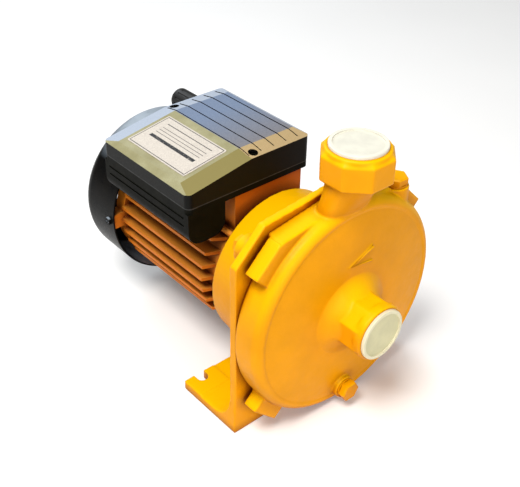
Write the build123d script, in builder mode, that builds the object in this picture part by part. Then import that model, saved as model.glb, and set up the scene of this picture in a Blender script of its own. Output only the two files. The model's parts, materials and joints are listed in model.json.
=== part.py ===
from build123d import *
import os

os.makedirs("parts", exist_ok=True)

# Close-coupled centrifugal water pump, in millimetres.
# X is across the pump, -Y is the suction side, +Y is the fan side, +Z is up.
# The origin is on the floor, midway between the two foot slots.

# ---------------------------------------------------------------- driving dimensions

shaft_height = 97.0          # shaft line above the foot's underside
suction_face = -127.0        # outer face of the suction cap
discharge_line = -85.0       # discharge port's centre line
discharge_face = 245.0       # outer face of the discharge cap
joint_face = -62.0           # where the casing meets the bracket
frame_front = -2.0           # where the bracket meets the motor frame
frame_rear = 131.0           # where the motor frame meets the rear end shield
cover_rear = 182.0           # back of the fan cover

sliding_gap = 0.35           # between a turning piece and a still one beside it
fit_gap = 0.05               # between pieces that are pushed together

port_wall_radius = 15.15     # G1 thread, drawn at its minor radius
port_wall_length = 20.0
port_mouth_radius = 17.6     # plain mouth ahead of the thread
port_mouth_depth = 7.0
cap_flange_radius = 21.5
port_collar_radius = 24.6    # iron rim round each cap
cap_flange_thickness = 2.5
bolt_count = 4               # casing bolts, in the four corners
bolt_start_angle = 45

# ---------------------------------------------------------------- planes and small helpers

low = (Align.MIN, Align.MIN)
upright = (Align.CENTER, Align.MIN)
side = Plane(origin=(0, 0, shaft_height), x_dir=(0, 1, 0), z_dir=(1, 0, 0))
shaft_axis = Axis((0, 0, shaft_height), (0, 1, 0))


def across(y):
    """Plane square to the shaft at y: local x is X, local y is height above the shaft, facing -Y."""
    return Plane(origin=(0, y, shaft_height), x_dir=(1, 0, 0), z_dir=(0, -1, 0))


def level(z):
    """Level plane at height z above the floor."""
    return Plane.XY.offset(z)


def rod_spots():
    """The four tie rods' places, seen along the shaft."""
    return GridLocations(2 * rod_offset, 2 * rod_offset, 2, 2)


def save(built, name):
    """Labels a finished piece and writes it to its own file."""
    built.part.label = name
    export_step(built.part, f"parts/{name}.step")


# ---------------------------------------------------------------- volute casing

drum_shift = 3.0             # the scroll stands off the shaft line, towards its wide side
drum_radius = 96.0
drum_wall = 7.5
drum_shoulder = -81.0        # where the rounded shoulder leaves the drum's side
dome_edge = -88.0
dome_edge_radius = 88.5
dome_front = -92.5
drum_rim_round = 3.0
dome_middle_radius = 58.0    # the dome's arc passes here on its way to the flat middle
dome_flat_radius = 26.0
crease_depth = 1.1           # sharp step between the shoulder and the dome
lug_flat = 106.0             # corner lugs' flat outer faces, from the shaft line
lug_width = 31.0
lug_root = 24.0              # how far the lugs run into the drum
lug_front = -79.0
lug_rear = -65.5
bolt_circle = 97.0
bolt_hole_radius = 4.0
bolt_thread_depth = 10.5
register_radius = 89.0       # the bracket's spigot fits this recess
register_depth = 3.0
scroll_rear = -67.0
casing_opening = 83.0
suction_iron = suction_face + cap_flange_thickness
discharge_iron = discharge_face - cap_flange_thickness
suction_octagon = 45.0       # across flats
octagon_turn = 22.5          # stands the octagons on a flat
octagon_chamfer = 2.6
collar_overlap = 3.0
suction_flare = 44.0         # radius of the flared root on the dome
suction_flare_neck = 22.0
suction_throat = 14.5
discharge_octagon = 52.0
discharge_octagon_low = 218.0
discharge_octagon_high = 240.0
neck_root = 176.0
neck_width = 50.0
neck_corner = 8.0
neck_top_radius = 21.0
throat_root = 180.0          # where the discharge throat opens into the scroll
throat_middle = -72.5
throat_opening = (30.0, 9.0, 4.0)    # width, depth, corner radius
throat_top_radius = 14.2
drain_drop = 79.0            # drain plug's centre below the shaft line
drain_boss_radius = 10.0
drain_face = -94.0
prime_x = 60.0
prime_y = -73.0
prime_top = 183.0
prime_boss_radius = 11.0
prime_bore = 6.6
drain_bore = 5.0
prime_boss_height = 35.0
prime_hole_depth = 30.0
spot_face_height = 12.0      # clears the drum above the priming plug's seat
eye_bore = 21.9
eye_bore_front = -82.0
eye_bore_length = 7.5
arrow_points = [(18.6, 55.4), (-3.7, 46.5), (18.0, 43.0)]
arrow_width = 1.8
arrow_rise = 0.4

port_depth = port_mouth_depth + port_wall_length
drain_seat = Plane(
    origin=(0, drain_face, shaft_height - drain_drop), x_dir=(1, 0, 0), z_dir=(0, -1, 0)
)
prime_seat = Plane(origin=(prime_x, prime_y, prime_top))
suction_rim = across(suction_iron)
discharge_rim = Plane(origin=(0, discharge_line, discharge_iron))
drum_side = Plane(origin=(drum_shift, 0, shaft_height), x_dir=(0, 1, 0), z_dir=(1, 0, 0))
drum_axis = Axis((drum_shift, 0, shaft_height), (0, 1, 0))

with BuildPart() as volute_casing:
    # Drum with a rounded shoulder and a shallow dome.
    with BuildSketch(drum_side):
        with BuildLine():
            Polyline((dome_front, 0), (joint_face, 0), (joint_face, drum_radius - drum_rim_round))
            RadiusArc(
                (joint_face, drum_radius - drum_rim_round),
                (joint_face - drum_rim_round, drum_radius),
                -drum_rim_round,
            )
            Line((joint_face - drum_rim_round, drum_radius), (drum_shoulder, drum_radius))
            ThreePointArc(
                (drum_shoulder, drum_radius),
                (drum_shoulder - 4.8, drum_radius - 2.6),
                (dome_edge, dome_edge_radius),
            )
            Line((dome_edge, dome_edge_radius), (dome_edge + 0.9, dome_edge_radius - crease_depth))
            ThreePointArc(
                (dome_edge + 0.9, dome_edge_radius - crease_depth),
                (dome_front + 1.2, dome_middle_radius),
                (dome_front, dome_flat_radius),
            )
            Line((dome_front, dome_flat_radius), (dome_front, 0))
        make_face()
    revolve(axis=drum_axis)

    # Four corner lugs for the casing bolts.
    with BuildSketch(across(lug_rear)):
        with PolarLocations(
            (lug_flat + drum_radius - lug_root) / 2, bolt_count, start_angle=bolt_start_angle
        ):
            Rectangle(lug_flat - drum_radius + lug_root, lug_width)
    extrude(amount=lug_rear - lug_front)

    # Straight webs along the top, from the upper lugs to the discharge neck.
    with BuildSketch(across(joint_face)):
        with BuildLine():
            Polyline((-62, 86.3), (-2, 95.8), (-2, 80), (-60, 66), close=True)
        make_face()
        mirror(about=Plane.YZ)
    extrude(amount=joint_face - lug_front)

    # Discharge neck: flat and wide where it leaves the scroll, round below the octagon.
    with BuildSketch(level(neck_root)):
        with Locations((0, (joint_face + drum_shoulder) / 2)):
            RectangleRounded(neck_width, joint_face - drum_shoulder - 1, neck_corner)
    with BuildSketch(level(discharge_octagon_low + 1)):
        with Locations((0, discharge_line)):
            Circle(neck_top_radius)
    loft()
    with BuildSketch(level(discharge_octagon_low)):
        with Locations((0, discharge_line)):
            RegularPolygon(discharge_octagon / 2, 8, major_radius=False, rotation=octagon_turn)
    extrude(amount=discharge_octagon_high - discharge_octagon_low)
    octagon_rim = volute_casing.faces().filter_by(Axis.Z).sort_by(Axis.Z)[-1].edges()
    chamfer(octagon_rim, octagon_chamfer)
    with BuildSketch(discharge_rim):
        Circle(port_collar_radius)
    extrude(amount=discharge_octagon_high - discharge_iron - collar_overlap)
    collar_rim = volute_casing.faces().filter_by(Axis.Z).sort_by(Axis.Z)[-1].edges()
    fillet(collar_rim, 2)

    # Suction neck: flared root, octagon, beaded collar and face.
    with BuildSketch(side):
        with BuildLine():
            Polyline((dome_front + 2, 0), (dome_front + 2, suction_flare))
            ThreePointArc(
                (dome_front + 2, suction_flare),
                (dome_front - 4, 29.5),
                (dome_front - 13, suction_flare_neck),
            )
            Polyline((dome_front - 13, suction_flare_neck), (dome_front - 13, 0), (dome_front + 2, 0))
        make_face()
    revolve(axis=shaft_axis)
    with BuildSketch(across(dome_front + 2)):
        RegularPolygon(suction_octagon / 2, 8, major_radius=False, rotation=octagon_turn)
    extrude(amount=dome_front + 2 - suction_iron - 5)
    with BuildSketch(side):
        with Locations((suction_iron + 1.2, 0)):
            Rectangle(6, port_collar_radius - 1, align=low)
        with Locations((suction_iron, 0)):
            Rectangle(3, port_collar_radius - 2.2, align=low)
    revolve(axis=shaft_axis)

    # Drain boss low on the dome and priming boss at the top right.
    with BuildSketch(drain_seat):
        Circle(drain_boss_radius)
    extrude(amount=drain_face - drum_shoulder)
    with BuildSketch(prime_seat):
        Circle(prime_boss_radius)
    extrude(amount=-prime_boss_height)

    # Spot face round the priming hole.
    with BuildSketch(prime_seat):
        Circle(prime_boss_radius + 0.5)
    extrude(amount=spot_face_height, mode=Mode.SUBTRACT)

    # Cast arrow showing the direction of rotation, raised on the dome.
    with BuildSketch(across(dome_edge)):
        with BuildLine():
            Polyline(*arrow_points)
        trace(line_width=arrow_width)
    extrude(amount=dome_edge - dome_front + arrow_rise)

    # Inside: bracket register, impeller opening and scroll chamber.
    with BuildSketch(across(joint_face)):
        Circle(register_radius)
    extrude(amount=register_depth, mode=Mode.SUBTRACT)
    with BuildSketch(across(joint_face)):
        Circle(casing_opening)
    extrude(amount=joint_face - scroll_rear + 1, mode=Mode.SUBTRACT)
    with BuildSketch(drum_side):
        with BuildLine():
            Polyline(
                (scroll_rear, 0),
                (scroll_rear, drum_radius - drum_wall),
                (drum_shoulder + 2, drum_radius - drum_wall),
                (drum_shoulder - 3.5, dome_edge_radius - drum_wall),
                (drum_shoulder - 3.5, 0),
                close=True,
            )
        make_face()
    revolve(axis=drum_axis, mode=Mode.SUBTRACT)

    # Suction passage: the impeller's wear bore and the throat ahead of it.
    with BuildSketch(across(eye_bore_front)):
        Circle(eye_bore)
    extrude(amount=eye_bore_length, mode=Mode.SUBTRACT)
    with BuildSketch(across(eye_bore_front)):
        Circle(suction_throat)
    extrude(amount=eye_bore_front - suction_iron, mode=Mode.SUBTRACT)

    # Discharge passage: a throat that narrows into the scroll.
    with BuildSketch(level(throat_root)):
        with Locations((0, throat_middle)):
            RectangleRounded(*throat_opening)
    with BuildSketch(discharge_rim.offset(-port_depth)):
        Circle(throat_top_radius)
    loft(mode=Mode.SUBTRACT)

    # Each port's thread wall and plain mouth.
    for rim in (suction_rim, discharge_rim):
        with BuildSketch(rim):
            Circle(port_wall_radius)
        extrude(amount=-port_depth, mode=Mode.SUBTRACT)
        with BuildSketch(rim):
            Circle(port_mouth_radius)
        extrude(amount=-port_mouth_depth, mode=Mode.SUBTRACT)

    # Drain, priming and casing-bolt holes.
    with BuildSketch(drain_seat):
        Circle(drain_bore)
    extrude(amount=drain_face - drum_shoulder, mode=Mode.SUBTRACT)
    with BuildSketch(prime_seat):
        Circle(prime_bore)
    extrude(amount=-prime_hole_depth, mode=Mode.SUBTRACT)
    with BuildSketch(across(joint_face)):
        with PolarLocations(bolt_circle, bolt_count, start_angle=bolt_start_angle):
            Circle(bolt_hole_radius)
    extrude(amount=joint_face - lug_rear + bolt_thread_depth, mode=Mode.SUBTRACT)
save(volute_casing, "volute_casing")

# ---------------------------------------------------------------- port caps

cap_recess_radius = 18.7
cap_recess_depth = 1.3
cap_skirt_wall = 1.6
cap_skirt_depth = 6.0
cap_edge_round = 0.8
cap_skirt_radius = port_mouth_radius - sliding_gap

for name, rim in (("discharge_port_cap", discharge_rim), ("suction_port_cap", suction_rim)):
    with BuildPart() as port_cap:
        with BuildSketch(rim):
            Circle(cap_flange_radius)
        extrude(amount=cap_flange_thickness)
        cap_edge = port_cap.faces().sort_by(Axis(rim.origin, rim.z_dir))[-1].edges()
        fillet(cap_edge, cap_edge_round)
        with BuildSketch(rim.offset(cap_flange_thickness)):
            Circle(cap_recess_radius)
        extrude(amount=-cap_recess_depth, mode=Mode.SUBTRACT)
        with BuildSketch(rim):
            Circle(cap_skirt_radius)
            Circle(cap_skirt_radius - cap_skirt_wall, mode=Mode.SUBTRACT)
        extrude(amount=-cap_skirt_depth)
    save(port_cap, name)

# ---------------------------------------------------------------- drain and priming plugs

washer_thickness = 1.5
washer_reach = 0.8           # how far a washer stands out past its plug's flats
drain_hex = 16.0
prime_hex = 17.0
plug_head = 6.0
plug_chamfer = 1.0
plug_shank = 9.0

for name, seat, plug_hex, hole in (
    ("drain_plug", drain_seat, drain_hex, drain_bore),
    ("priming_plug", prime_seat, prime_hex, prime_bore),
):
    with BuildPart() as plug_washer:
        with BuildSketch(seat):
            Circle(plug_hex / 2 + washer_reach)
            Circle(hole + fit_gap, mode=Mode.SUBTRACT)
        extrude(amount=washer_thickness)
    save(plug_washer, name + "_washer")
    with BuildPart() as plug:
        with BuildSketch(seat.offset(washer_thickness)):
            RegularPolygon(plug_hex / 2, 6, major_radius=False)
        extrude(amount=plug_head)
        head_edge = plug.faces().sort_by(Axis(seat.origin, seat.z_dir))[-1].edges()
        chamfer(head_edge, plug_chamfer)
        with BuildSketch(seat.offset(washer_thickness)):
            Circle(hole - fit_gap)
        extrude(amount=-(washer_thickness + plug_shank))
    save(plug, name)

# ---------------------------------------------------------------- motor bracket with foot

plate_rear = -55.0
plate_half_width = 91.0
foot_half_width = 92.5
foot_front = -58.0
foot_rear = 5.0
foot_thickness = 8.0
foot_pad_rise = 1.0
slot_spread = 77.0           # slots' centre lines from the middle
slot_radius = 5.0
slot_spots = [(-slot_spread, 0), (slot_spread, 0)]
slot_pad = (31.0, 22.0)      # width and length
foot_sweep = 22.0            # height and length of the sweep between plate and foot
foot_sweep_middle = 6.5
rib_spots = (-32.0, 26.0)    # left faces of the two ribs under the bell
rib_thickness = 6.0
rib_top = 47.0
bell_front_radius = 73.0
bell_rear_radius = 66.5
bell_wall = 8.0
seal_bore = 19.0
seat_bore = 14.0
seat_floor = -41.0
hub_radius = 27.0
hub_rear = -37.0
bearing_radius = 17.5
bearing_width = 11.0
bearing_play = 0.5           # behind the rear bearing, taken up by the wave washer
front_bearing = -13.0        # front face of the front bearing
lantern_rear = -16.0
lantern_front = -50.0
rod_offset = 41.4            # tie rods, across and up from the shaft line
rod_radius = 2.5
frame_bore = 48.5
spigot_length = 4.0
bolt_boss_rear = -46.0
ring_groove_radius = 86.0
ring_section = 2.0
ring_squeeze = 0.2
bolt_boss_radius = 12.0
rod_hole_depth = 12.0
shaft_way = 9.5              # radius of the hole the shaft passes in the bearing wall
bearing_shoulder = 12.5
motor_recess_wall = 6.0
window_width = 24.0

with BuildPart() as motor_bracket:
    # Plate with sloping top edges and 45 degree corners.
    with BuildSketch(across(plate_rear)):
        with BuildLine():
            Polyline(
                (0, -shaft_height),
                (-foot_half_width, -shaft_height),
                (-plate_half_width, -30),
                (-plate_half_width, 66.7),
                (-64.2, 93.5),
                (0, 99.6),
                (0, -shaft_height),
            )
        make_face()
        mirror(about=Plane.YZ)
    extrude(amount=plate_rear - joint_face)

    # Foot with raised pads round the slots.
    with BuildSketch(level(0)):
        with Locations((0, (foot_front + foot_rear) / 2)):
            Rectangle(2 * foot_half_width, foot_rear - foot_front)
    extrude(amount=foot_thickness)
    with BuildSketch(level(foot_thickness)):
        with Locations((-slot_spread, foot_rear), (slot_spread, foot_rear)):
            Rectangle(*slot_pad, align=(Align.CENTER, Align.MAX))
    extrude(amount=foot_pad_rise)

    # Sweep from the plate down to the foot, and two ribs under the bell.
    with BuildSketch(Plane.YZ.offset(-foot_half_width)):
        with BuildLine():
            Line((plate_rear, foot_thickness), (plate_rear, foot_thickness + foot_sweep))
            ThreePointArc(
                (plate_rear, foot_thickness + foot_sweep),
                (plate_rear + foot_sweep_middle, foot_thickness + foot_sweep_middle),
                (plate_rear + foot_sweep, foot_thickness),
            )
            Line((plate_rear + foot_sweep, foot_thickness), (plate_rear, foot_thickness))
        make_face()
    extrude(amount=2 * foot_half_width)
    for rib in rib_spots:
        with BuildSketch(Plane.YZ.offset(rib)):
            with BuildLine():
                Polyline(
                    (plate_rear, foot_thickness),
                    (foot_rear - 8, foot_thickness),
                    (lantern_rear, rib_top),
                    (plate_rear, rib_top),
                    close=True,
                )
            make_face()
        extrude(amount=rib_thickness)

    # Bell that carries the motor, closed at its rear by the bearing wall.
    with BuildSketch(side):
        with BuildLine():
            Polyline(
                (plate_rear, 0),
                (plate_rear, bell_front_radius),
                (frame_front, bell_rear_radius),
                (frame_front, 0),
                close=True,
            )
        make_face()
    revolve(axis=shaft_axis)
    with BuildSketch(across(frame_front + spigot_length)):
        Circle(frame_bore - fit_gap)
    extrude(amount=spigot_length)

    # Spigot that centres the casing.
    with BuildSketch(across(joint_face)):
        Circle(register_radius - fit_gap)
    extrude(amount=register_depth)

    # Bosses behind the plate for the casing bolts.
    with BuildSketch(across(bolt_boss_rear)):
        with PolarLocations(bolt_circle, bolt_count, start_angle=bolt_start_angle):
            Circle(bolt_boss_radius)
    extrude(amount=bolt_boss_rear - plate_rear)

    # Lantern behind the seal, with a drip window below, round the central hub.
    with BuildSketch(side):
        with Locations((lantern_front, 0)):
            Rectangle(lantern_rear - lantern_front, bell_rear_radius - bell_wall, align=low)
    revolve(axis=shaft_axis, mode=Mode.SUBTRACT)
    with BuildSketch(side):
        with Locations((lantern_front - 1, 0)):
            Rectangle(hub_rear - lantern_front + 1, hub_radius, align=low)
    revolve(axis=shaft_axis)
    with BuildSketch(level(foot_thickness + 1)):
        with Locations((0, (lantern_rear + hub_rear) / 2)):
            Rectangle(window_width, lantern_rear - hub_rear - 4)
    extrude(amount=shaft_height - bell_rear_radius, mode=Mode.SUBTRACT)

    # Shaft way: seal chamber, seat pocket, shaft hole, bearing seat and motor-side recess.
    with BuildSketch(side):
        with BuildLine():
            Polyline(
                (joint_face - register_depth, 0),
                (joint_face - register_depth, seal_bore),
                (seat_floor - 6, seal_bore),
                (seat_floor - 6, seat_bore),
                (seat_floor, seat_bore),
                (seat_floor, shaft_way),
                (lantern_rear - 0.5, shaft_way),
                (lantern_rear - 0.5, bearing_shoulder),
                (front_bearing, bearing_shoulder),
                (front_bearing, bearing_radius),
                (front_bearing + bearing_width, bearing_radius),
                (front_bearing + bearing_width, frame_bore - motor_recess_wall),
                (frame_front + spigot_length, frame_bore - motor_recess_wall),
                (frame_front + spigot_length, 0),
                close=True,
            )
        make_face()
    revolve(axis=shaft_axis, mode=Mode.SUBTRACT)

    # Groove for the casing's O-ring, bolt holes, tie-rod holes and the open foot slots.
    with BuildSketch(side):
        with Locations((joint_face - register_depth + ring_section / 2, ring_groove_radius)):
            Rectangle(ring_section, ring_section + 2 * ring_squeeze)
    revolve(axis=shaft_axis, mode=Mode.SUBTRACT)
    with BuildSketch(across(bolt_boss_rear)):
        with PolarLocations(bolt_circle, bolt_count, start_angle=bolt_start_angle):
            Circle(bolt_hole_radius + 0.4)
    extrude(amount=bolt_boss_rear - joint_face, mode=Mode.SUBTRACT)
    with BuildSketch(across(frame_front)):
        with rod_spots():
            Circle(rod_radius)
    extrude(amount=rod_hole_depth, mode=Mode.SUBTRACT)
    with BuildSketch(level(0)):
        with Locations(*slot_spots):
            Circle(slot_radius)
            Rectangle(2 * slot_radius, foot_rear + 1, align=upright)
    extrude(amount=foot_thickness + foot_pad_rise, mode=Mode.SUBTRACT)
save(motor_bracket, "motor_bracket")

with BuildPart() as casing_o_ring:
    with BuildSketch(side):
        with Locations((joint_face - register_depth + ring_section / 2, ring_groove_radius)):
            Circle(ring_section / 2 - 0.02)
    revolve(axis=shaft_axis)
save(casing_o_ring, "casing_o_ring")

bolt_washer_thickness = 2.0
bolt_washer_radius = 7.4
bolt_hex = 13.0
bolt_head = 5.3
bolt_thread_reach = 9.5
bolt_seat = bolt_boss_rear + bolt_washer_thickness

with BuildPart() as casing_bolts:
    with BuildSketch(across(bolt_seat + bolt_head)):
        with PolarLocations(bolt_circle, bolt_count, start_angle=bolt_start_angle):
            RegularPolygon(bolt_hex / 2, 6, major_radius=False)
    extrude(amount=bolt_head)
    chamfer(casing_bolts.faces().filter_by(Axis.Y).group_by(Axis.Y)[-1].edges(), 0.8)
    with BuildSketch(across(bolt_seat)):
        with PolarLocations(bolt_circle, bolt_count, start_angle=bolt_start_angle):
            Circle(bolt_hole_radius - fit_gap)
    extrude(amount=bolt_seat - lug_rear + bolt_thread_reach)
save(casing_bolts, "casing_bolts")

with BuildPart() as casing_bolt_washers:
    with BuildSketch(across(bolt_seat)):
        with PolarLocations(bolt_circle, bolt_count, start_angle=bolt_start_angle):
            Circle(bolt_washer_radius)
            Circle(bolt_hole_radius + 0.2, mode=Mode.SUBTRACT)
    extrude(amount=bolt_washer_thickness)
save(casing_bolt_washers, "casing_bolt_washers")

# ---------------------------------------------------------------- motor frame

frame_outer = 53.5
fin_reach = 64.0
fin_pitch = 11.8
fin_thickness = 3.0
fin_front = 11.0
fin_slant = (-6.0, 4.0)      # where a fin's sloping front end starts and stops, from fin_front
pedestal_half_width = 35.0
pedestal_front = 6.5
pedestal_rear = 115.0
pedestal_top = 73.0          # above the shaft line
gasket_thickness = 1.0
passage_width = 20.0         # the leads pass from the frame into the box here
passage_length = 18.0
passage_front = 18.0
box_screw_spots = [(x, y) for x in (-27.0, 27.0) for y in (14.0, 100.0)]
box_screw_depth = 12.0
screw_radius = 2.0
screw_head_radius = 3.7
screw_head_height = 2.6
screw_slot = (5.0, 0.9)      # length and width of each arm of the cross
screw_slot_depth = 1.1


def fin_edge(offset):
    """How far a fin reaches from the shaft line, for a fin that stands offset to one side of it."""
    return (fin_reach**2 - offset**2) ** 0.5


def screw_cross():
    """The cross in a screw's head, drawn on a sketch."""
    Rectangle(*screw_slot)
    return Rectangle(screw_slot[1], screw_slot[0])


def lead_passage():
    """The opening the leads pass through, drawn on a level sketch."""
    with Locations((0, passage_front)):
        return Rectangle(passage_width, passage_length, align=upright)


with BuildPart() as motor_frame:
    with BuildSketch(across(frame_rear)):
        Circle(frame_outer)
    extrude(amount=frame_rear - frame_front)
    # Level fins down both sides, each with a sloping front end.
    for row in range(-3, 4):
        tip = fin_edge(row * fin_pitch)
        with BuildSketch(level(shaft_height + row * fin_pitch - fin_thickness / 2)):
            with BuildLine():
                Polyline(
                    (0, fin_front + fin_slant[0]),
                    (frame_outer * 0.72, fin_front + fin_slant[0]),
                    (tip, fin_front + fin_slant[1]),
                    (tip, frame_rear),
                    (0, frame_rear),
                    close=True,
                )
            make_face()
            mirror(about=Plane.YZ)
        extrude(amount=fin_thickness)
    # Upright fins below.
    for row in (-2.5, -1.5, -0.5, 0.5, 1.5, 2.5):
        tip = shaft_height - fin_edge(row * fin_pitch)
        with BuildSketch(Plane.YZ.offset(row * fin_pitch - fin_thickness / 2)):
            with BuildLine():
                Polyline(
                    (fin_front + fin_slant[0], shaft_height),
                    (fin_front + fin_slant[0], shaft_height - frame_outer * 0.8),
                    (fin_front + fin_slant[1], tip),
                    (frame_rear, tip),
                    (frame_rear, shaft_height),
                    close=True,
                )
            make_face()
        extrude(amount=fin_thickness)
    # Pedestal for the terminal box.
    with BuildSketch(level(shaft_height)):
        with Locations((0, pedestal_front)):
            Rectangle(2 * pedestal_half_width, pedestal_rear - pedestal_front, align=upright)
    extrude(amount=pedestal_top)
    # Bore for the stator, passage for the leads and holes for the box's screws.
    with BuildSketch(across(frame_rear)):
        Circle(frame_bore)
    extrude(amount=frame_rear - frame_front, mode=Mode.SUBTRACT)
    with BuildSketch(level(shaft_height)):
        lead_passage()
    extrude(amount=pedestal_top, mode=Mode.SUBTRACT)
    with BuildSketch(level(shaft_height + pedestal_top)):
        with Locations(*box_screw_spots):
            Circle(screw_radius)
    extrude(amount=-box_screw_depth, mode=Mode.SUBTRACT)
save(motor_frame, "motor_frame")

# ---------------------------------------------------------------- stator

core_front = 30.0
core_rear = 100.0
stator_bore = 28.0
slot_count = 24
slot_inner = 33.0
slot_outer = 44.0
slot_width = 3.4
winding_overhang = 16.0

with BuildPart() as stator_core:
    with BuildSketch(across(core_rear)):
        Circle(frame_bore)
        Circle(stator_bore, mode=Mode.SUBTRACT)
        with PolarLocations((slot_inner + slot_outer) / 2, slot_count):
            Rectangle(slot_outer - slot_inner, slot_width, mode=Mode.SUBTRACT)
        with PolarLocations((slot_inner + stator_bore) / 2, slot_count):
            Rectangle(slot_inner - stator_bore + 1, 1.6, mode=Mode.SUBTRACT)
    extrude(amount=core_rear - core_front)
save(stator_core, "stator_core")

with BuildPart() as stator_windings:
    with BuildSketch(across(core_rear + 1)):
        with PolarLocations((slot_inner + slot_outer) / 2, slot_count):
            Rectangle(slot_outer - slot_inner - 0.4, slot_width - 0.2)
    extrude(amount=core_rear - core_front + 2)
    with BuildSketch(side):
        with Locations((core_rear + 0.2, slot_inner - 1), (core_front - winding_overhang, slot_inner - 1)):
            Rectangle(winding_overhang - 0.2, slot_outer - slot_inner + 2, align=low)
    revolve(axis=shaft_axis)
    ring_edges = stator_windings.edges().filter_by(GeomType.CIRCLE).group_by(Axis.Y)
    fillet(ring_edges[0] + ring_edges[-1], 4)
save(stator_windings, "stator_windings")

# ---------------------------------------------------------------- shaft line

shaft_journal = 7.5
shaft_body = 9.0
shaft_end = 6.0
thread_front = -87.0
hub_front = -80.0
hub_back = -66.0
rear_bearing = 126.5         # front face of the rear bearing
fan_front = 147.0
fan_back = 167.0
shaft_rear = 171.0
key_width = 3.0
key_front = -78.0
key_back = -68.0

with BuildPart() as rotor_shaft:
    with BuildSketch(side):
        with BuildLine():
            Polyline(
                (thread_front, 0),
                (thread_front, 4.3),
                (thread_front + 0.7, 5),
                (hub_front, 5),
                (hub_front, shaft_end),
                (hub_back, shaft_end),
                (hub_back, shaft_journal),
                (frame_front, shaft_journal),
                (frame_front, shaft_body),
                (rear_bearing, shaft_body),
                (rear_bearing, shaft_journal),
                (rear_bearing + bearing_width + bearing_play, shaft_journal),
                (rear_bearing + bearing_width + bearing_play, shaft_end),
                (shaft_rear - 0.8, shaft_end),
                (shaft_rear, shaft_end - 0.8),
                (shaft_rear, 0),
                close=True,
            )
        make_face()
    revolve(axis=shaft_axis)
    with BuildSketch(level(shaft_height + shaft_end - 1.6)):
        with Locations((0, (key_front + key_back) / 2)):
            Rectangle(key_width, key_back - key_front)
    extrude(amount=3, mode=Mode.SUBTRACT)
    # Flat that drives the fan, and the groove for its ring.
    with BuildSketch(level(shaft_height + shaft_end - 1)):
        with Locations((0, fan_front)):
            Rectangle(2 * shaft_end, fan_back - fan_front, align=upright)
    extrude(amount=2, mode=Mode.SUBTRACT)
    with BuildSketch(side):
        with Locations((fan_back + 0.1, shaft_end - 0.8)):
            Rectangle(1.1, 2, align=low)
    revolve(axis=shaft_axis, mode=Mode.SUBTRACT)
save(rotor_shaft, "rotor_shaft")

with BuildPart() as impeller_key:
    with BuildSketch(level(shaft_height + shaft_end - 1.6)):
        with Locations((0, (key_front + key_back) / 2)):
            Rectangle(key_width - 0.04, key_back - key_front - 0.1)
    extrude(amount=2.9)
save(impeller_key, "impeller_key")

impeller_radius = 74.0
impeller_eye = 16.5
vane_front = -79.0
vane_back = -73.5
vane_count = 6

with BuildPart() as impeller:
    # Closed impeller: front shroud with its eye ring, back shroud, hub.
    with BuildSketch(side):
        with BuildLine():
            Polyline(
                (vane_front, impeller_eye + 3),
                (vane_front - 2, impeller_eye + 1),
                (vane_front - 9.5, impeller_eye),
                (vane_front - 9.5, eye_bore - 0.4),
                (vane_front - 2.5, eye_bore - 0.4),
                (vane_front - 2.5, impeller_radius),
                (vane_front, impeller_radius),
                close=True,
            )
        make_face()
    revolve(axis=shaft_axis)
    with BuildSketch(side):
        with BuildLine():
            Polyline(
                (hub_front, shaft_end + 0.02),
                (hub_front, 9),
                (vane_back, 12.5),
                (vane_back, impeller_radius),
                (vane_back + 3.5, impeller_radius),
                (vane_back + 3.5, 15),
                (hub_back, 13),
                (hub_back, shaft_end + 0.02),
                close=True,
            )
        make_face()
    revolve(axis=shaft_axis)
    # Backward-swept vanes between the shrouds.
    with BuildSketch(across(vane_back)):
        with BuildLine():
            for vane in range(vane_count):
                turn = 360 / vane_count * vane
                ThreePointArc(
                    Vector(22, 0).rotate(Axis.Z, turn),
                    Vector(50, 14).rotate(Axis.Z, turn),
                    Vector(55, 46).rotate(Axis.Z, turn),
                )
        trace(line_width=2.6)
    extrude(amount=vane_back - vane_front)
    # Keyway.
    with BuildSketch(level(shaft_height)):
        with Locations((0, hub_front)):
            Rectangle(key_width, hub_back - hub_front, align=upright)
    extrude(amount=shaft_end + 1.4, mode=Mode.SUBTRACT)
save(impeller, "impeller")

with BuildPart() as impeller_nut:
    with BuildSketch(across(hub_front)):
        RegularPolygon(7.5, 6, major_radius=False)
    extrude(amount=6)
    chamfer(impeller_nut.faces().sort_by(Axis.Y)[0].edges(), 0.8)
    with BuildSketch(across(hub_front)):
        Circle(5.02)
    extrude(amount=6, mode=Mode.SUBTRACT)
save(impeller_nut, "impeller_nut")

# ---------------------------------------------------------------- mechanical seal and slinger

seal_face = -47.8            # where the turning face runs on the still seat
head_front = -51.0
bellows_front = -56.0
spring_turns = 4
spring_coil = 10.5
spring_wire = 0.8

with BuildPart() as seal_cup:
    with BuildSketch(across(seat_floor)):
        Circle(seat_bore)
        Circle(seat_bore - 2.2, mode=Mode.SUBTRACT)
    extrude(amount=6)
save(seal_cup, "seal_cup")

with BuildPart() as seal_seat:
    with BuildSketch(across(seat_floor - 0.5)):
        Circle(seat_bore - 2.2)
        Circle(8.2, mode=Mode.SUBTRACT)
    extrude(amount=seat_floor - 0.5 - seal_face)
save(seal_seat, "seal_seat")

with BuildPart() as seal_head:
    with BuildSketch(side):
        with Locations((head_front, 8.3)):
            Rectangle(seal_face - 0.05 - head_front, 2.8, align=low)
            Rectangle(1.6, 4.2, align=low)
    revolve(axis=shaft_axis)
save(seal_head, "seal_head")

with BuildPart() as seal_bellows:
    with BuildSketch(side):
        with Locations((bellows_front, shaft_journal + fit_gap)):
            Rectangle(head_front - bellows_front, 12 - shaft_journal, align=low)
        with Locations((head_front - 2, 12.3)):
            Rectangle(1.2, 2, align=low, mode=Mode.SUBTRACT)
        with Locations((bellows_front + 1, 10.6)):
            Rectangle(0.8, 4, align=low, mode=Mode.SUBTRACT)
    revolve(axis=shaft_axis)
save(seal_bellows, "seal_bellows")

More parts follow.
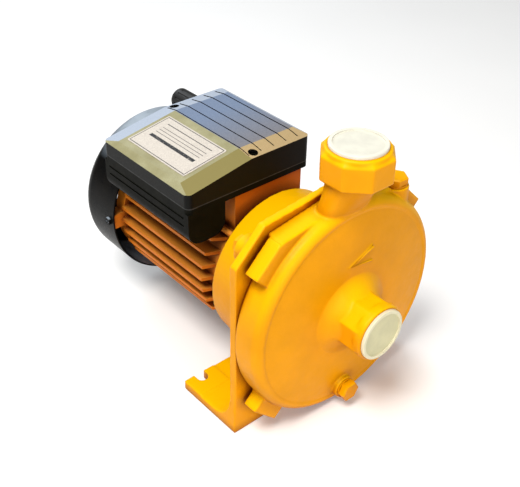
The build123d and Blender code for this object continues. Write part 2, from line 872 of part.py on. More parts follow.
spring_start = (0, bellows_front - spring_wire, shaft_height)
spring_length = bellows_front - hub_back - 2 * spring_wire
with BuildPart() as seal_spring:
    with BuildLine():
        coil = Helix(
            spring_length / spring_turns,
            spring_length,
            spring_coil,
            center=spring_start,
            direction=(0, -1, 0),
        )
    with BuildSketch(Plane(origin=coil @ 0, z_dir=coil % 0)):
        Circle(spring_wire - 0.02)
    sweep(path=coil)
save(seal_spring, "seal_spring")

with BuildPart() as water_slinger:
    with BuildSketch(side):
        with BuildLine():
            Polyline(
                (-33, shaft_journal + 0.02),
                (-33, 12),
                (-32, 16),
                (-30.8, 16),
                (-30, 11),
                (-28.5, 11),
                (-28.5, shaft_journal + 0.02),
                close=True,
            )
        make_face()
    revolve(axis=shaft_axis)
save(water_slinger, "water_slinger")

# ---------------------------------------------------------------- rotor

rotor_radius = 27.2
cage_radius = 23.5
cage_bar = 1.8
cage_count = 18
end_ring = 8.0
stub_blade_count = 6
stub_blade_circle = 19.0
stub_blade = (9.0, 1.6)      # radial length and thickness
stub_blade_length = 13.6     # through the end ring and on past it

with BuildPart() as rotor_core:
    with BuildSketch(across(core_rear)):
        Circle(rotor_radius)
        Circle(shaft_body, mode=Mode.SUBTRACT)
        with PolarLocations(cage_radius, cage_count):
            Circle(cage_bar, mode=Mode.SUBTRACT)
    extrude(amount=core_rear - core_front)
save(rotor_core, "rotor_core")

with BuildPart() as rotor_cage:
    with BuildSketch(across(core_rear)):
        with PolarLocations(cage_radius, cage_count):
            Circle(cage_bar)
    extrude(amount=core_rear - core_front)
    for ring_rear in (core_rear + end_ring, core_front):
        with BuildSketch(across(ring_rear)):
            Circle(cage_radius + cage_bar + 0.7)
            Circle(shaft_body + 3, mode=Mode.SUBTRACT)
        extrude(amount=end_ring)
    # Stub blades cast on the end rings stir the air.
    for blade_rear in (core_rear + stub_blade_length, core_front):
        with BuildSketch(across(blade_rear)):
            with PolarLocations(stub_blade_circle, stub_blade_count):
                Rectangle(*stub_blade)
        extrude(amount=stub_blade_length)
save(rotor_cage, "rotor_cage")

# ---------------------------------------------------------------- bearings

ball_count = 8
ball_radius = 2.975
groove_radius = 3.05
ball_pitch = 12.5
race_inner = 10.3
race_outer = 14.7
ball_cage_width = 7.6
ball_cage_wall = 1.8

for name, bearing_front in (("front_bearing", front_bearing), ("rear_bearing", rear_bearing)):
    bearing_middle = bearing_front + bearing_width / 2
    with BuildPart() as outer_race:
        with BuildSketch(across(bearing_front + bearing_width)):
            Circle(bearing_radius)
            Circle(race_outer, mode=Mode.SUBTRACT)
        extrude(amount=bearing_width)
        with BuildSketch(side):
            with Locations((bearing_middle, ball_pitch)):
                Circle(groove_radius)
        revolve(axis=shaft_axis, mode=Mode.SUBTRACT)
    save(outer_race, name + "_outer")
    with BuildPart() as inner_race:
        with BuildSketch(across(bearing_front + bearing_width)):
            Circle(race_inner)
            Circle(shaft_journal, mode=Mode.SUBTRACT)
        extrude(amount=bearing_width)
        with BuildSketch(side):
            with Locations((bearing_middle, ball_pitch)):
                Circle(groove_radius)
        revolve(axis=shaft_axis, mode=Mode.SUBTRACT)
    save(inner_race, name + "_inner")
    with BuildPart() as balls:
        with Locations(across(bearing_middle)):
            with PolarLocations(ball_pitch, ball_count):
                Sphere(ball_radius)
    save(balls, name + "_balls")
    with BuildPart() as ball_cage:
        with BuildSketch(across(bearing_middle + ball_cage_width / 2)):
            Circle(ball_pitch + ball_cage_wall / 2)
            Circle(ball_pitch - ball_cage_wall / 2, mode=Mode.SUBTRACT)
        extrude(amount=ball_cage_width)
        with Locations(across(bearing_middle)):
            with PolarLocations(ball_pitch, ball_count):
                Cylinder(groove_radius + 0.02, 8, rotation=(0, 90, 0), mode=Mode.SUBTRACT)
    save(ball_cage, name + "_cage")

# ---------------------------------------------------------------- rear end shield and tie rods

shield_rear = 143.0
shield_radius = 62.0
lug_reach = 71.9
fan_shaft_hole = 8.5
lug_start = 50.0             # the cover lugs are drawn from here out
lug_thickness = 14.0
rod_boss_radius = 6.3
bearing_boss_wall = 6.0
dish_radius = 50.0
dish_depth = 5.0
cover_screw_y = 137.0
cover_screw_radius = 2.0
cover_screw_depth = 9.0
nut_height = 4.0
cover_screw_planes = [
    Plane(
        origin=(0, cover_screw_y, shaft_height),
        x_dir=(0, 1, 0),
        z_dir=Vector(1, 0, 0).rotate(Axis.Y, 90 * turn),
    )
    for turn in range(4)
]

with BuildPart() as rear_end_shield:
    with BuildSketch(across(shield_rear)):
        Circle(shield_radius)
        with PolarLocations((lug_reach + lug_start) / 2, 4):
            Rectangle(lug_reach - lug_start, lug_thickness)
        with rod_spots():
            Circle(rod_boss_radius)
    extrude(amount=shield_rear - frame_rear)
    with BuildSketch(across(frame_rear)):
        Circle(frame_bore - fit_gap)
        Circle(frame_bore - 8, mode=Mode.SUBTRACT)
    extrude(amount=spigot_length)
    with BuildSketch(across(frame_rear)):
        Circle(bearing_radius + bearing_boss_wall)
    extrude(amount=frame_rear - rear_bearing)
    # Shallow dish and ribs on the fan side.
    with BuildSketch(across(shield_rear)):
        Circle(dish_radius)
        Circle(bearing_radius + bearing_boss_wall, mode=Mode.SUBTRACT)
        with PolarLocations(35, 8):
            Rectangle(34, 4, mode=Mode.SUBTRACT)
    extrude(amount=dish_depth, mode=Mode.SUBTRACT)
    # Bearing bore, shaft hole, tie-rod holes and cover-screw holes.
    with BuildSketch(across(rear_bearing + bearing_width + bearing_play)):
        Circle(bearing_radius)
    extrude(amount=bearing_width + bearing_play, mode=Mode.SUBTRACT)
    with BuildSketch(across(shield_rear)):
        Circle(fan_shaft_hole)
    extrude(amount=shield_rear - rear_bearing, mode=Mode.SUBTRACT)
    with BuildSketch(across(shield_rear)):
        with rod_spots():
            Circle(rod_radius + 0.2)
    extrude(amount=shield_rear - frame_rear, mode=Mode.SUBTRACT)
    for screw_plane in cover_screw_planes:
        with BuildSketch(screw_plane.offset(lug_reach)):
            Circle(cover_screw_radius)
        extrude(amount=-cover_screw_depth, mode=Mode.SUBTRACT)
save(rear_end_shield, "rear_end_shield")

with BuildPart() as wave_washer:
    with BuildSketch(across(rear_bearing + bearing_width + bearing_play)):
        Circle(bearing_radius - 0.3)
        Circle(14, mode=Mode.SUBTRACT)
    extrude(amount=bearing_play)
save(wave_washer, "wave_washer")

with BuildPart() as tie_rods:
    with BuildSketch(across(shield_rear + nut_height + 1)):
        with rod_spots():
            Circle(rod_radius - fit_gap)
    extrude(amount=shield_rear + nut_height + 1 - frame_front + 11.5)
save(tie_rods, "tie_rods")

with BuildPart() as tie_rod_nuts:
    with BuildSketch(across(shield_rear + nut_height)):
        with rod_spots():
            RegularPolygon(4, 6, major_radius=False)
            Circle(rod_radius, mode=Mode.SUBTRACT)
    extrude(amount=nut_height)
save(tie_rod_nuts, "tie_rod_nuts")

# ---------------------------------------------------------------- cooling fan and its cover

cover_radius = 74.0
cover_wall = 1.4
cover_front = 130.0
cover_corner = 14.0
fan_radius = 52.0
blade_count = 7
blade_root = 9.0
blade_thickness = 1.8
grille_count = 24            # slots in the outer ring, half as many in the inner one
grille_outer = (43.0, 30.0, 3.8)     # middle radius, length and width of a slot
grille_inner = (16.5, 15.0, 3.2)
cover_screw_head = 2.3

with BuildPart() as cooling_fan:
    with BuildSketch(side):
        with BuildLine():
            Polyline(
                (fan_front, shaft_end + 0.02),
                (fan_front, 12),
                (fan_front + 5, 14),
                (fan_front + 3, fan_radius),
                (fan_front + 5, fan_radius),
                (fan_front + 7, 14),
                (fan_back, 10),
                (fan_back, shaft_end + 0.02),
                close=True,
            )
        make_face()
    revolve(axis=shaft_axis)
    with BuildSketch(across(fan_back - 1)):
        with PolarLocations((fan_radius + blade_root) / 2, blade_count):
            Rectangle(fan_radius - blade_root, blade_thickness)
    extrude(amount=fan_back - 1 - fan_front - 4)
    with BuildSketch(level(shaft_height + shaft_end - 0.97)):
        with Locations((0, fan_front)):
            Rectangle(2 * 3.2, fan_back - fan_front, align=upright)
    extrude(amount=2)
save(cooling_fan, "cooling_fan")

with BuildPart() as fan_retaining_ring:
    with BuildSketch(across(fan_back + 1.15)):
        Circle(9)
        Circle(shaft_end - 0.7, mode=Mode.SUBTRACT)
        with Locations((0, -8)):
            Rectangle(5, 9, mode=Mode.SUBTRACT)
    extrude(amount=1)
save(fan_retaining_ring, "fan_retaining_ring")

with BuildPart() as fan_cover:
    with BuildSketch(side):
        with BuildLine():
            Line((cover_front, cover_radius), (cover_rear - cover_corner, cover_radius))
            RadiusArc(
                (cover_rear - cover_corner, cover_radius),
                (cover_rear, cover_radius - cover_corner),
                cover_corner,
            )
            Polyline(
                (cover_rear, cover_radius - cover_corner),
                (cover_rear, 0),
                (cover_rear - cover_wall, 0),
                (cover_rear - cover_wall, cover_radius - cover_corner),
            )
            RadiusArc(
                (cover_rear - cover_wall, cover_radius - cover_corner),
                (cover_rear - cover_corner, cover_radius - cover_wall),
                -(cover_corner - cover_wall),
            )
            Polyline(
                (cover_rear - cover_corner, cover_radius - cover_wall),
                (cover_front, cover_radius - cover_wall),
                (cover_front, cover_radius),
            )
        make_face()
    revolve(axis=shaft_axis)
    with BuildSketch(across(cover_rear)):
        with PolarLocations(grille_outer[0], grille_count):
            SlotOverall(*grille_outer[1:])
        with PolarLocations(grille_inner[0], grille_count // 2):
            SlotOverall(*grille_inner[1:])
    extrude(amount=cover_wall, mode=Mode.SUBTRACT)
    for screw_plane in cover_screw_planes:
        with BuildSketch(screw_plane.offset(cover_radius - 4)):
            Circle(cover_screw_radius + 0.3)
        extrude(amount=5, mode=Mode.SUBTRACT)
save(fan_cover, "fan_cover")

with BuildPart() as fan_cover_screws:
    for screw_plane in cover_screw_planes:
        with BuildSketch(screw_plane.offset(cover_radius + 0.02)):
            Circle(screw_head_radius)
        extrude(amount=cover_screw_head)
        with BuildSketch(screw_plane.offset(cover_radius + 0.02)):
            Circle(cover_screw_radius - fit_gap)
        extrude(amount=-cover_screw_depth)
        with BuildSketch(screw_plane.offset(cover_radius + 0.02 + cover_screw_head)):
            screw_cross()
        extrude(amount=-screw_slot_depth, mode=Mode.SUBTRACT)
save(fan_cover_screws, "fan_cover_screws")

# ---------------------------------------------------------------- terminal box

box_left = -82.3
box_right = 41.7
box_front = 4.7
box_rear = 119.2
box_wall = 2.5
box_floor = 3.0
box_joint = 79.0             # top of the base's rim, above the shaft line
lobe_right = -46.5
lobe_bottom = 46.0
lobe_floor = 48.5
lid_bottom = box_joint + gasket_thickness
lid_top = 105.0
lid_edge = 102.1             # top of the lid's outer edges
lid_left_edge = 91.5
crease_x = -20.0             # the lid slopes down to the left from here
lid_slope = 0.17
bevel_depth = 15.3
side_bevel = 5.2
groove_width = 1.6
groove_depth = 0.9
lid_screw_x = -14.0
lid_screw_spots = [(lid_screw_x, 10.4), (lid_screw_x, 113.5)]
gland_x = 21.0
gland_height = 85.0
gland_hole = 6.35
block_width = 26.2           # moulded block that carries the gland
block_front_face = 112.0
block_top = 96.5
block_clearance = 0.2
box_corner = 5.0
rim_height = 6.0             # the base's rim stands up inside the lid
rim_gap = 0.35
lobe_round = 12.0            # the lobe's lower corners, outside and inside
lobe_round_inside = 9.5
line_heights = (63.0, 70.0)  # moulded lines along the lobe, above the shaft line
line_width = 1.6
line_margin = 6.0
strip_spots = (-20.5, -8.0, 5.0, 18.0, 30.5)    # left edges of the lid's grooves
post_radius = 4.6
screw_clearance = 0.2
lid_screw_seat = 98.0        # above the shaft line
counterbore_radius = 4.1

box_middle_x = (box_left + box_right) / 2
box_middle_y = (box_front + box_rear) / 2
box_width = box_right - box_left
box_length = box_rear - box_front
lobe_width = lobe_right - box_left
lobe_middle_x = (box_left + lobe_right) / 2
base_floor = pedestal_top + gasket_thickness
floor_top = base_floor + box_floor

gland_plane = Plane(
    origin=(gland_x, box_rear, shaft_height + gland_height), x_dir=(1, 0, 0), z_dir=(0, 1, 0)
)

with BuildPart() as box_gasket:
    with BuildSketch(level(shaft_height + pedestal_top)):
        with Locations((0, pedestal_front)):
            Rectangle(2 * pedestal_half_width, pedestal_rear - pedestal_front, align=upright)
        with Locations(*box_screw_spots):
            Circle(screw_radius + screw_clearance, mode=Mode.SUBTRACT)
    extrude(amount=gasket_thickness)
    with BuildSketch(level(shaft_height + pedestal_top)):
        lead_passage()
    extrude(amount=gasket_thickness, mode=Mode.SUBTRACT)
save(box_gasket, "box_gasket")

with BuildPart() as terminal_box_base:
    with BuildSketch(level(shaft_height + base_floor)):
        with Locations((box_middle_x, box_middle_y)):
            RectangleRounded(box_width, box_length, box_corner)
    extrude(amount=box_joint - base_floor)
    # Capacitor lobe hanging outside the fins, its outer lower edge rounded.
    with BuildSketch(across(box_rear)):
        with Locations((lobe_middle_x, (lobe_bottom + base_floor + 1) / 2)):
            Rectangle(lobe_width, base_floor + 1 - lobe_bottom)
        fillet(vertices().group_by(Axis.Y)[0], lobe_round)
    extrude(amount=box_length)
    # Rim that stands inside the lid.
    with BuildSketch(level(shaft_height + base_floor)):
        with Locations((box_middle_x, box_middle_y)):
            RectangleRounded(
                box_width - 2 * (box_wall + rim_gap), box_length - 2 * (box_wall + rim_gap), 3.5
            )
    extrude(amount=box_joint + rim_height - base_floor)
    # Hollow: box above the floor, lobe below it.
    with BuildSketch(level(shaft_height + floor_top)):
        with Locations((box_middle_x, box_middle_y)):
            RectangleRounded(box_width - 4 * box_wall, box_length - 4 * box_wall, 2)
    extrude(amount=box_joint + rim_height - floor_top, mode=Mode.SUBTRACT)
    with BuildSketch(across(box_rear - box_wall)):
        with Locations((lobe_middle_x, lobe_floor)):
            Rectangle(lobe_width - 2 * box_wall, floor_top + 1 - lobe_floor, align=upright)
        fillet(vertices().group_by(Axis.Y)[0], lobe_round_inside)
    extrude(amount=box_length - 2 * box_wall, mode=Mode.SUBTRACT)
    # Moulded lines along the lobe's left side.
    for line_height in line_heights:
        with BuildSketch(across(box_rear - line_margin)):
            with Locations((box_left, line_height)):
                Rectangle(line_width, line_width)
        extrude(amount=box_length - 2 * line_margin, mode=Mode.SUBTRACT)
    # Block for the cable gland.
    with BuildSketch(level(shaft_height + base_floor)):
        with Locations((gland_x, block_front_face)):
            Rectangle(block_width, box_rear - block_front_face, align=upright)
    extrude(amount=block_top - base_floor)
    with BuildSketch(gland_plane):
        Circle(gland_hole)
    extrude(amount=block_front_face - box_rear, mode=Mode.SUBTRACT)
    # Posts for the lid screws; the lid's own posts stand on them.
    for spot in lid_screw_spots:
        with BuildSketch(level(shaft_height + base_floor)):
            with Locations(spot):
                Circle(post_radius)
        extrude(amount=lid_bottom - base_floor - 0.1)
        with BuildSketch(level(shaft_height + box_joint)):
            with Locations(spot):
                Rectangle(2 * post_radius + 0.6, 2 * post_radius + 0.6)
        extrude(amount=rim_height + 1, mode=Mode.SUBTRACT)
        with BuildSketch(level(shaft_height + base_floor + 1.5)):
            with Locations(spot):
                Circle(screw_radius)
        extrude(amount=lid_bottom - base_floor, mode=Mode.SUBTRACT)
    # Lead passage and screw holes in the floor.
    with BuildSketch(level(shaft_height + base_floor)):
        lead_passage()
        with Locations(*box_screw_spots):
            Circle(screw_radius + screw_clearance)
    extrude(amount=box_floor, mode=Mode.SUBTRACT)
save(terminal_box_base, "terminal_box_base")

with BuildPart() as box_screws:
    for spot in box_screw_spots:
        with BuildSketch(level(shaft_height + floor_top)):
            with Locations(spot):
                Circle(screw_head_radius)
        extrude(amount=screw_head_height)
        with BuildSketch(level(shaft_height + floor_top)):
            with Locations(spot):
                Circle(screw_radius - fit_gap)
        extrude(amount=-(box_screw_depth + 2))
        with BuildSketch(level(shaft_height + floor_top + screw_head_height)):
            with Locations(spot):
                screw_cross()
        extrude(amount=-screw_slot_depth, mode=Mode.SUBTRACT)
save(box_screws, "box_screws")

with BuildPart() as lid_gasket:
    with BuildSketch(level(shaft_height + box_joint)):
        with Locations((box_middle_x, box_middle_y)):
            RectangleRounded(box_width, box_length, box_corner)
            RectangleRounded(
                box_width - 2 * box_wall, box_length - 2 * box_wall, 3, mode=Mode.SUBTRACT
            )
        with Locations((gland_x, block_front_face)):
            Rectangle(block_width + 2 * block_clearance, 20, align=upright, mode=Mode.SUBTRACT)
        with Locations(*lid_screw_spots):
            Circle(post_radius + screw_clearance, mode=Mode.SUBTRACT)
    extrude(amount=gasket_thickness)
save(lid_gasket, "lid_gasket")

# The lid's shell is drawn twice, at its outer size and again inset by the wall.
lid_shells = []
for inset in (0.0, box_wall):
    slope_run = crease_x - box_left - inset
    slope_length = (slope_run**2 + (slope_run * lid_slope) ** 2) ** 0.5
    roof = shaft_height - inset
    with BuildPart() as lid_shell:
        with BuildSketch(Plane.YZ.offset(crease_x)):
            with BuildLine():
                Polyline(
                    (box_front + inset, roof + 40),
                    (box_front + inset, roof + lid_edge),
                    (box_front + bevel_depth, roof + lid_top),
                    (box_rear - bevel_depth, roof + lid_top),
                    (box_rear - inset, roof + lid_edge),
                    (box_rear - inset, roof + 40),
                    close=True,
                )
            make_face()
        lid_section = lid_shell.pending_faces[0]
        extrude(amount=box_right - crease_x - inset)
        extrude(lid_section, amount=slope_length, dir=(-1, 0, -lid_slope))
        with BuildSketch(across(box_rear)):
            with BuildLine():
                Polyline(
                    (box_left + inset, lid_bottom),
                    (box_left + inset, lid_left_edge - inset),
                    (box_left + side_bevel, lid_left_edge - inset + 3.9),
                    (box_left + side_bevel, 120),
                    (box_right - side_bevel, 120),
                    (box_right - side_bevel, lid_top - inset),
                    (box_right - inset, lid_edge - inset),
                    (box_right - inset, lid_bottom),
                    close=True,
                )
            make_face()
        extrude(amount=box_length, mode=Mode.INTERSECT)
    lid_shells.append(lid_shell.part)

with BuildPart() as terminal_box_lid:
    add(lid_shells[0])
    fillet(terminal_box_lid.edges().filter_by(Axis.Z), 4.9)
    add(lid_shells[1], mode=Mode.SUBTRACT)
    # Screw posts down from the roof, counterbored from above.
    for spot in lid_screw_spots:
        with BuildSketch(level(shaft_height + lid_bottom)):
            with Locations(spot):
                Circle(post_radius)
        extrude(amount=lid_edge - box_wall - lid_bottom)
        with BuildSketch(level(shaft_height + lid_bottom)):
            with Locations(spot):
                Circle(screw_radius + screw_clearance)
        extrude(amount=lid_top - lid_bottom, mode=Mode.SUBTRACT)
        with BuildSketch(level(shaft_height + lid_screw_seat)):
            with Locations(spot):
                Circle(counterbore_radius)
        extrude(amount=lid_top - lid_screw_seat, mode=Mode.SUBTRACT)
    # Shallow grooves that divide the flat top into strips, dying out down the bevels.
    for strip in strip_spots:
        with BuildSketch(Plane.YZ.offset(strip)):
            with BuildLine():
                Polyline(
                    (box_front + 4, shaft_height + lid_edge - 0.1),
                    (box_front + bevel_depth, shaft_height + lid_top - groove_depth),
                    (box_rear - bevel_depth, shaft_height + lid_top - groove_depth),
                    (box_rear - 4, shaft_height + lid_edge - 0.1),
                    (box_rear - 4, shaft_height + lid_top + 1),
                    (box_front + 4, shaft_height + lid_top + 1),
                    close=True,
                )
            make_face()
        extrude(amount=groove_width, mode=Mode.SUBTRACT)
    # Opening that clears the gland block.
    with BuildSketch(across(box_rear + 1)):
        with Locations((gland_x, lid_bottom - 1)):
            Rectangle(
                block_width + 2 * block_clearance,
                block_top + 2 * block_clearance - lid_bottom + 1,
                align=upright,
            )
    extrude(amount=box_rear - block_front_face + 3, mode=Mode.SUBTRACT)
save(terminal_box_lid, "terminal_box_lid")

with BuildPart() as lid_screws:
    for spot in lid_screw_spots:
        with BuildSketch(level(shaft_height + lid_screw_seat)):
            with Locations(spot):
                Circle(screw_head_radius)
        extrude(amount=screw_head_height)
        with BuildSketch(level(shaft_height + lid_screw_seat)):
            with Locations(spot):
                Circle(screw_radius - fit_gap)
        extrude(amount=base_floor + 2 - lid_screw_seat)
        with BuildSketch(level(shaft_height + lid_screw_seat + screw_head_height)):
            with Locations(spot):
                screw_cross()
        extrude(amount=-screw_slot_depth, mode=Mode.SUBTRACT)
save(lid_screws, "lid_screws")

plate_size = (43.0, 76.0)
plate_corner = 1.5
plate_thickness = 0.6
plate_middle = (-50.0, 62.0)
plate_plane = Plane(
    origin=(*plate_middle, shaft_height + lid_top - (crease_x - plate_middle[0]) * lid_slope),
    x_dir=(1, 0, lid_slope),
    z_dir=(-lid_slope, 0, 1),
)
with BuildPart() as rating_plate:
    with BuildSketch(plate_plane):
        RectangleRounded(*plate_size, plate_corner)
    extrude(amount=plate_thickness)
save(rating_plate, "rating_plate")

# ---------------------------------------------------------------- inside the box

capacitor_radius = 14.0
band_thickness = 1.4
capacitor_x = lobe_middle_x
capacitor_height = lobe_floor + capacitor_radius + band_thickness
capacitor_front = 30.0
capacitor_rear = 95.0
tag_spread = 5.0
tag_radius = 2.0
band_rear = 66.0
band_width = 10.0
block_left = -12.0
block_right = 32.0
block_front = 50.0
block_rear = 75.0
block_height = 8.0
way_count = 4
way_pitch = 10.5
way_wall = (2.0, 4.0)        # thickness and height of the walls between the ways
terminal_row = 6.0           # the two rows of screws, each side of the middle
terminal_radius = 1.9
terminal_head = (3.3, 2.0)   # radius and height
terminal_spots = [
    ((block_left + block_right) / 2 + way_pitch * step, (block_front + block_rear) / 2 + row)
    for step in (-1.5, -0.5, 0.5, 1.5)
    for row in (-terminal_row, terminal_row)
]
earth_spot = (-28.0, 80.0)

with BuildPart() as run_capacitor:
    with BuildSketch(across(capacitor_rear)):
        with Locations((capacitor_x, capacitor_height)):
            Circle(capacitor_radius)
    extrude(amount=capacitor_rear - capacitor_front)
    fillet(run_capacitor.edges().filter_by(GeomType.CIRCLE), 1.5)
    with BuildSketch(across(capacitor_front)):
        with Locations((capacitor_x, capacitor_height)):
            with Locations((-tag_spread, 0), (tag_spread, 0)):
                Circle(tag_radius)
    extrude(amount=5)
save(run_capacitor, "run_capacitor")

with BuildPart() as capacitor_band:
    with BuildSketch(across(band_rear)):
        with Locations((capacitor_x, capacitor_height)):
            Circle(capacitor_radius + band_thickness)
            Circle(capacitor_radius, mode=Mode.SUBTRACT)
    extrude(amount=band_width)
save(capacitor_band, "capacitor_band")

block_face = level(shaft_height + floor_top + block_height)

with BuildPart() as terminal_block:
    with BuildSketch(level(shaft_height + floor_top)):
        with Locations((block_left, block_front)):
            Rectangle(block_right - block_left, block_rear - block_front, align=low)
    extrude(amount=block_height)
    for way in range(way_count + 1):
        with BuildSketch(block_face):
            with Locations((block_left + way_pitch * way, block_front)):
                Rectangle(way_wall[0], block_rear - block_front, align=low)
        extrude(amount=way_wall[1])
    with BuildSketch(block_face):
        with Locations(*terminal_spots):
            Circle(terminal_radius)
    extrude(amount=-6, mode=Mode.SUBTRACT)
save(terminal_block, "terminal_block")

with BuildPart() as terminal_screws:
    for spot in terminal_spots:
        with BuildSketch(block_face):
            with Locations(spot):
                Circle(terminal_head[0])
        extrude(amount=terminal_head[1])
        with BuildSketch(block_face):
            with Locations(spot):
                Circle(terminal_radius - fit_gap)
        extrude(amount=-5)
        with BuildSketch(block_face.offset(terminal_head[1])):
            with Locations(spot):
                Rectangle(2 * terminal_head[0] + 0.4, screw_slot[1])
        extrude(amount=-screw_slot[1], mode=Mode.SUBTRACT)
save(terminal_screws, "terminal_screws")

with BuildPart() as earth_screw:
    with BuildSketch(level(shaft_height + floor_top)):
        with Locations(earth_spot):
            RegularPolygon(4, 6, major_radius=False)
    extrude(amount=3.2)
    with BuildSketch(level(shaft_height + floor_top)):
        with Locations(earth_spot):
            Circle(terminal_radius)
    extrude(amount=block_height)
save(earth_screw, "earth_screw")

lead_radius = 1.1
lead_spots = (-7.5, -2.5, 2.5, 7.5)
lead_start = 22.0
lead_bend = 6.0
lead_height = shaft_height + floor_top + 3.5

with BuildPart() as motor_leads:
    for lead_x in lead_spots:
        with BuildLine():
            lead_path = FilletPolyline(
                (lead_x, lead_start, shaft_height + slot_outer + 1.05),
                (lead_x, lead_start, lead_height),
                (lead_x, block_front - 0.1, lead_height),
                radius=lead_bend,
            )
        with BuildSketch(Plane(origin=lead_path @ 0, z_dir=lead_path % 0)):
            Circle(lead_radius)
        sweep(path=lead_path)
save(motor_leads, "motor_leads")

# ---------------------------------------------------------------- cable gland
# Lengths here are measured back from the box's rear wall, along gland_plane.

gland_across_flats = 19.0
gland_collar = 6.0
gland_barrel = 8.0
gland_barrel_end = 22.8
gland_bore = 4.0
gland_seal_radius = 6.6
gland_seal_start = 8.8
gland_seal_end = 26.8
gland_thread_length = 12.2   # inside the box
gland_way = 5.0
locknut_flats = 15.8
locknut_thickness = 4.0
cap_radius = 9.7
cap_start = 9.8
cap_end = 36.8
cap_nose_round = 3.0
flute_count = 12
flute_circle = 9.9
flute_radius = 0.9
flute_end = 30.8

with BuildPart() as cable_gland_body:
    with BuildSketch(gland_plane):
        Circle(gland_hole - fit_gap)
    extrude(amount=-gland_thread_length)
    with BuildSketch(gland_plane):
        RegularPolygon(gland_across_flats / 2, 6, major_radius=False)
    extrude(amount=gland_collar)
    with BuildSketch(gland_plane):
        Circle(gland_barrel)
    extrude(amount=gland_barrel_end)
    with BuildSketch(gland_plane.offset(gland_seal_start)):
        Circle(gland_seal_radius)
    extrude(amount=gland_barrel_end - gland_seal_start, mode=Mode.SUBTRACT)
    with BuildSketch(gland_plane.offset(-gland_thread_length)):
        Circle(gland_way)
    extrude(amount=gland_thread_length + gland_barrel_end, mode=Mode.SUBTRACT)
save(cable_gland_body, "cable_gland_body")

with BuildPart() as gland_locknut:
    with BuildSketch(across(block_front_face)):
        with Locations((gland_x, gland_height)):
            RegularPolygon(locknut_flats / 2, 6, major_radius=False)
            Circle(gland_hole, mode=Mode.SUBTRACT)
    extrude(amount=locknut_thickness)
save(gland_locknut, "gland_locknut")

with BuildPart() as gland_seal:
    with BuildSketch(gland_plane.offset(gland_seal_start)):
        Circle(gland_seal_radius - fit_gap)
        Circle(gland_bore, mode=Mode.SUBTRACT)
    extrude(amount=gland_seal_end - gland_seal_start)
save(gland_seal, "gland_seal")

with BuildPart() as gland_nut:
    with BuildSketch(gland_plane.offset(cap_start)):
        Circle(cap_radius)
    extrude(amount=cap_end - cap_start)
    fillet(gland_nut.faces().sort_by(Axis.Y)[-1].edges(), cap_nose_round)
    with BuildSketch(gland_plane.offset(cap_start)):
        Circle(gland_barrel + fit_gap)
    extrude(amount=gland_seal_end + 0.1 - cap_start, mode=Mode.SUBTRACT)
    with BuildSketch(gland_plane.offset(cap_start)):
        Circle(gland_way)
    extrude(amount=cap_end - cap_start, mode=Mode.SUBTRACT)
    # Grip flutes.
    with BuildSketch(gland_plane.offset(cap_start)):
        with PolarLocations(flute_circle, flute_count):
            Circle(flute_radius)
    extrude(amount=flute_end - cap_start, mode=Mode.SUBTRACT)
save(gland_nut, "gland_nut")
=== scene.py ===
import json
import math

import bmesh
import bpy
from mathutils import Matrix, Vector


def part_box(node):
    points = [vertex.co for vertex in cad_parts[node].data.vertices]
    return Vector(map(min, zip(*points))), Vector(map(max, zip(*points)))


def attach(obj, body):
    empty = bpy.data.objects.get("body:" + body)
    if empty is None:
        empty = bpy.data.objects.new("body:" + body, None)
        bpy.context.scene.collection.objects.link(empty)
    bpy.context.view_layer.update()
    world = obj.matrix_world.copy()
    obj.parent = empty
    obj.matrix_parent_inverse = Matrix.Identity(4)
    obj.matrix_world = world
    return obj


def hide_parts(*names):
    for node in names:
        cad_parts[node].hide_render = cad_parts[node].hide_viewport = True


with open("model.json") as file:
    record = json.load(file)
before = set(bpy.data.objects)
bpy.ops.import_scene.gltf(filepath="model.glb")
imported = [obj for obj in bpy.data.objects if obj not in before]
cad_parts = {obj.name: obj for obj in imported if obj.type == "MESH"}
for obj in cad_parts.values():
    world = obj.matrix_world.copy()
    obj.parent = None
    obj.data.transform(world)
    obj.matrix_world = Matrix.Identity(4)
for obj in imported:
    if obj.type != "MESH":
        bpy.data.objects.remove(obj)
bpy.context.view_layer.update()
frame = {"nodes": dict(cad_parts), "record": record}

# Looks of a close-coupled centrifugal water pump, built round its CAD frame.
# Lengths are in metres. X is across the pump, -Y is the suction side and +Z is up.

MM = 0.001

# ---------------------------------------------------------------- camera and lights

TARGET = Vector((-51.3, -42.2, 158.9)) * MM
CAMERA_AZIMUTH = math.radians(-41.38)
CAMERA_ELEVATION = math.radians(35.10)
CAMERA_ROLL = math.radians(1.11)
CAMERA_DISTANCE = 648.6 * MM
LENS = 60.4

WORLD_STRENGTH = 0.26
LIGHTS = (                   # name, place, aim, size, power in watts, colour
    ("key", (-0.7, -0.25, 1.5), (-0.05, 0, 0.12), (0.6, 0.6), 24, (1.0, 0.98, 0.94)),
    ("fill", (-0.4, -1.5, 0.6), (0, 0, 0.12), (1.0, 0.8), 8, (1, 1, 1)),
    ("rim", (0.1, 1.4, 1.2), (0, 0, 0.15), (0.9, 0.7), 11, (0.88, 0.94, 1.0)),
)


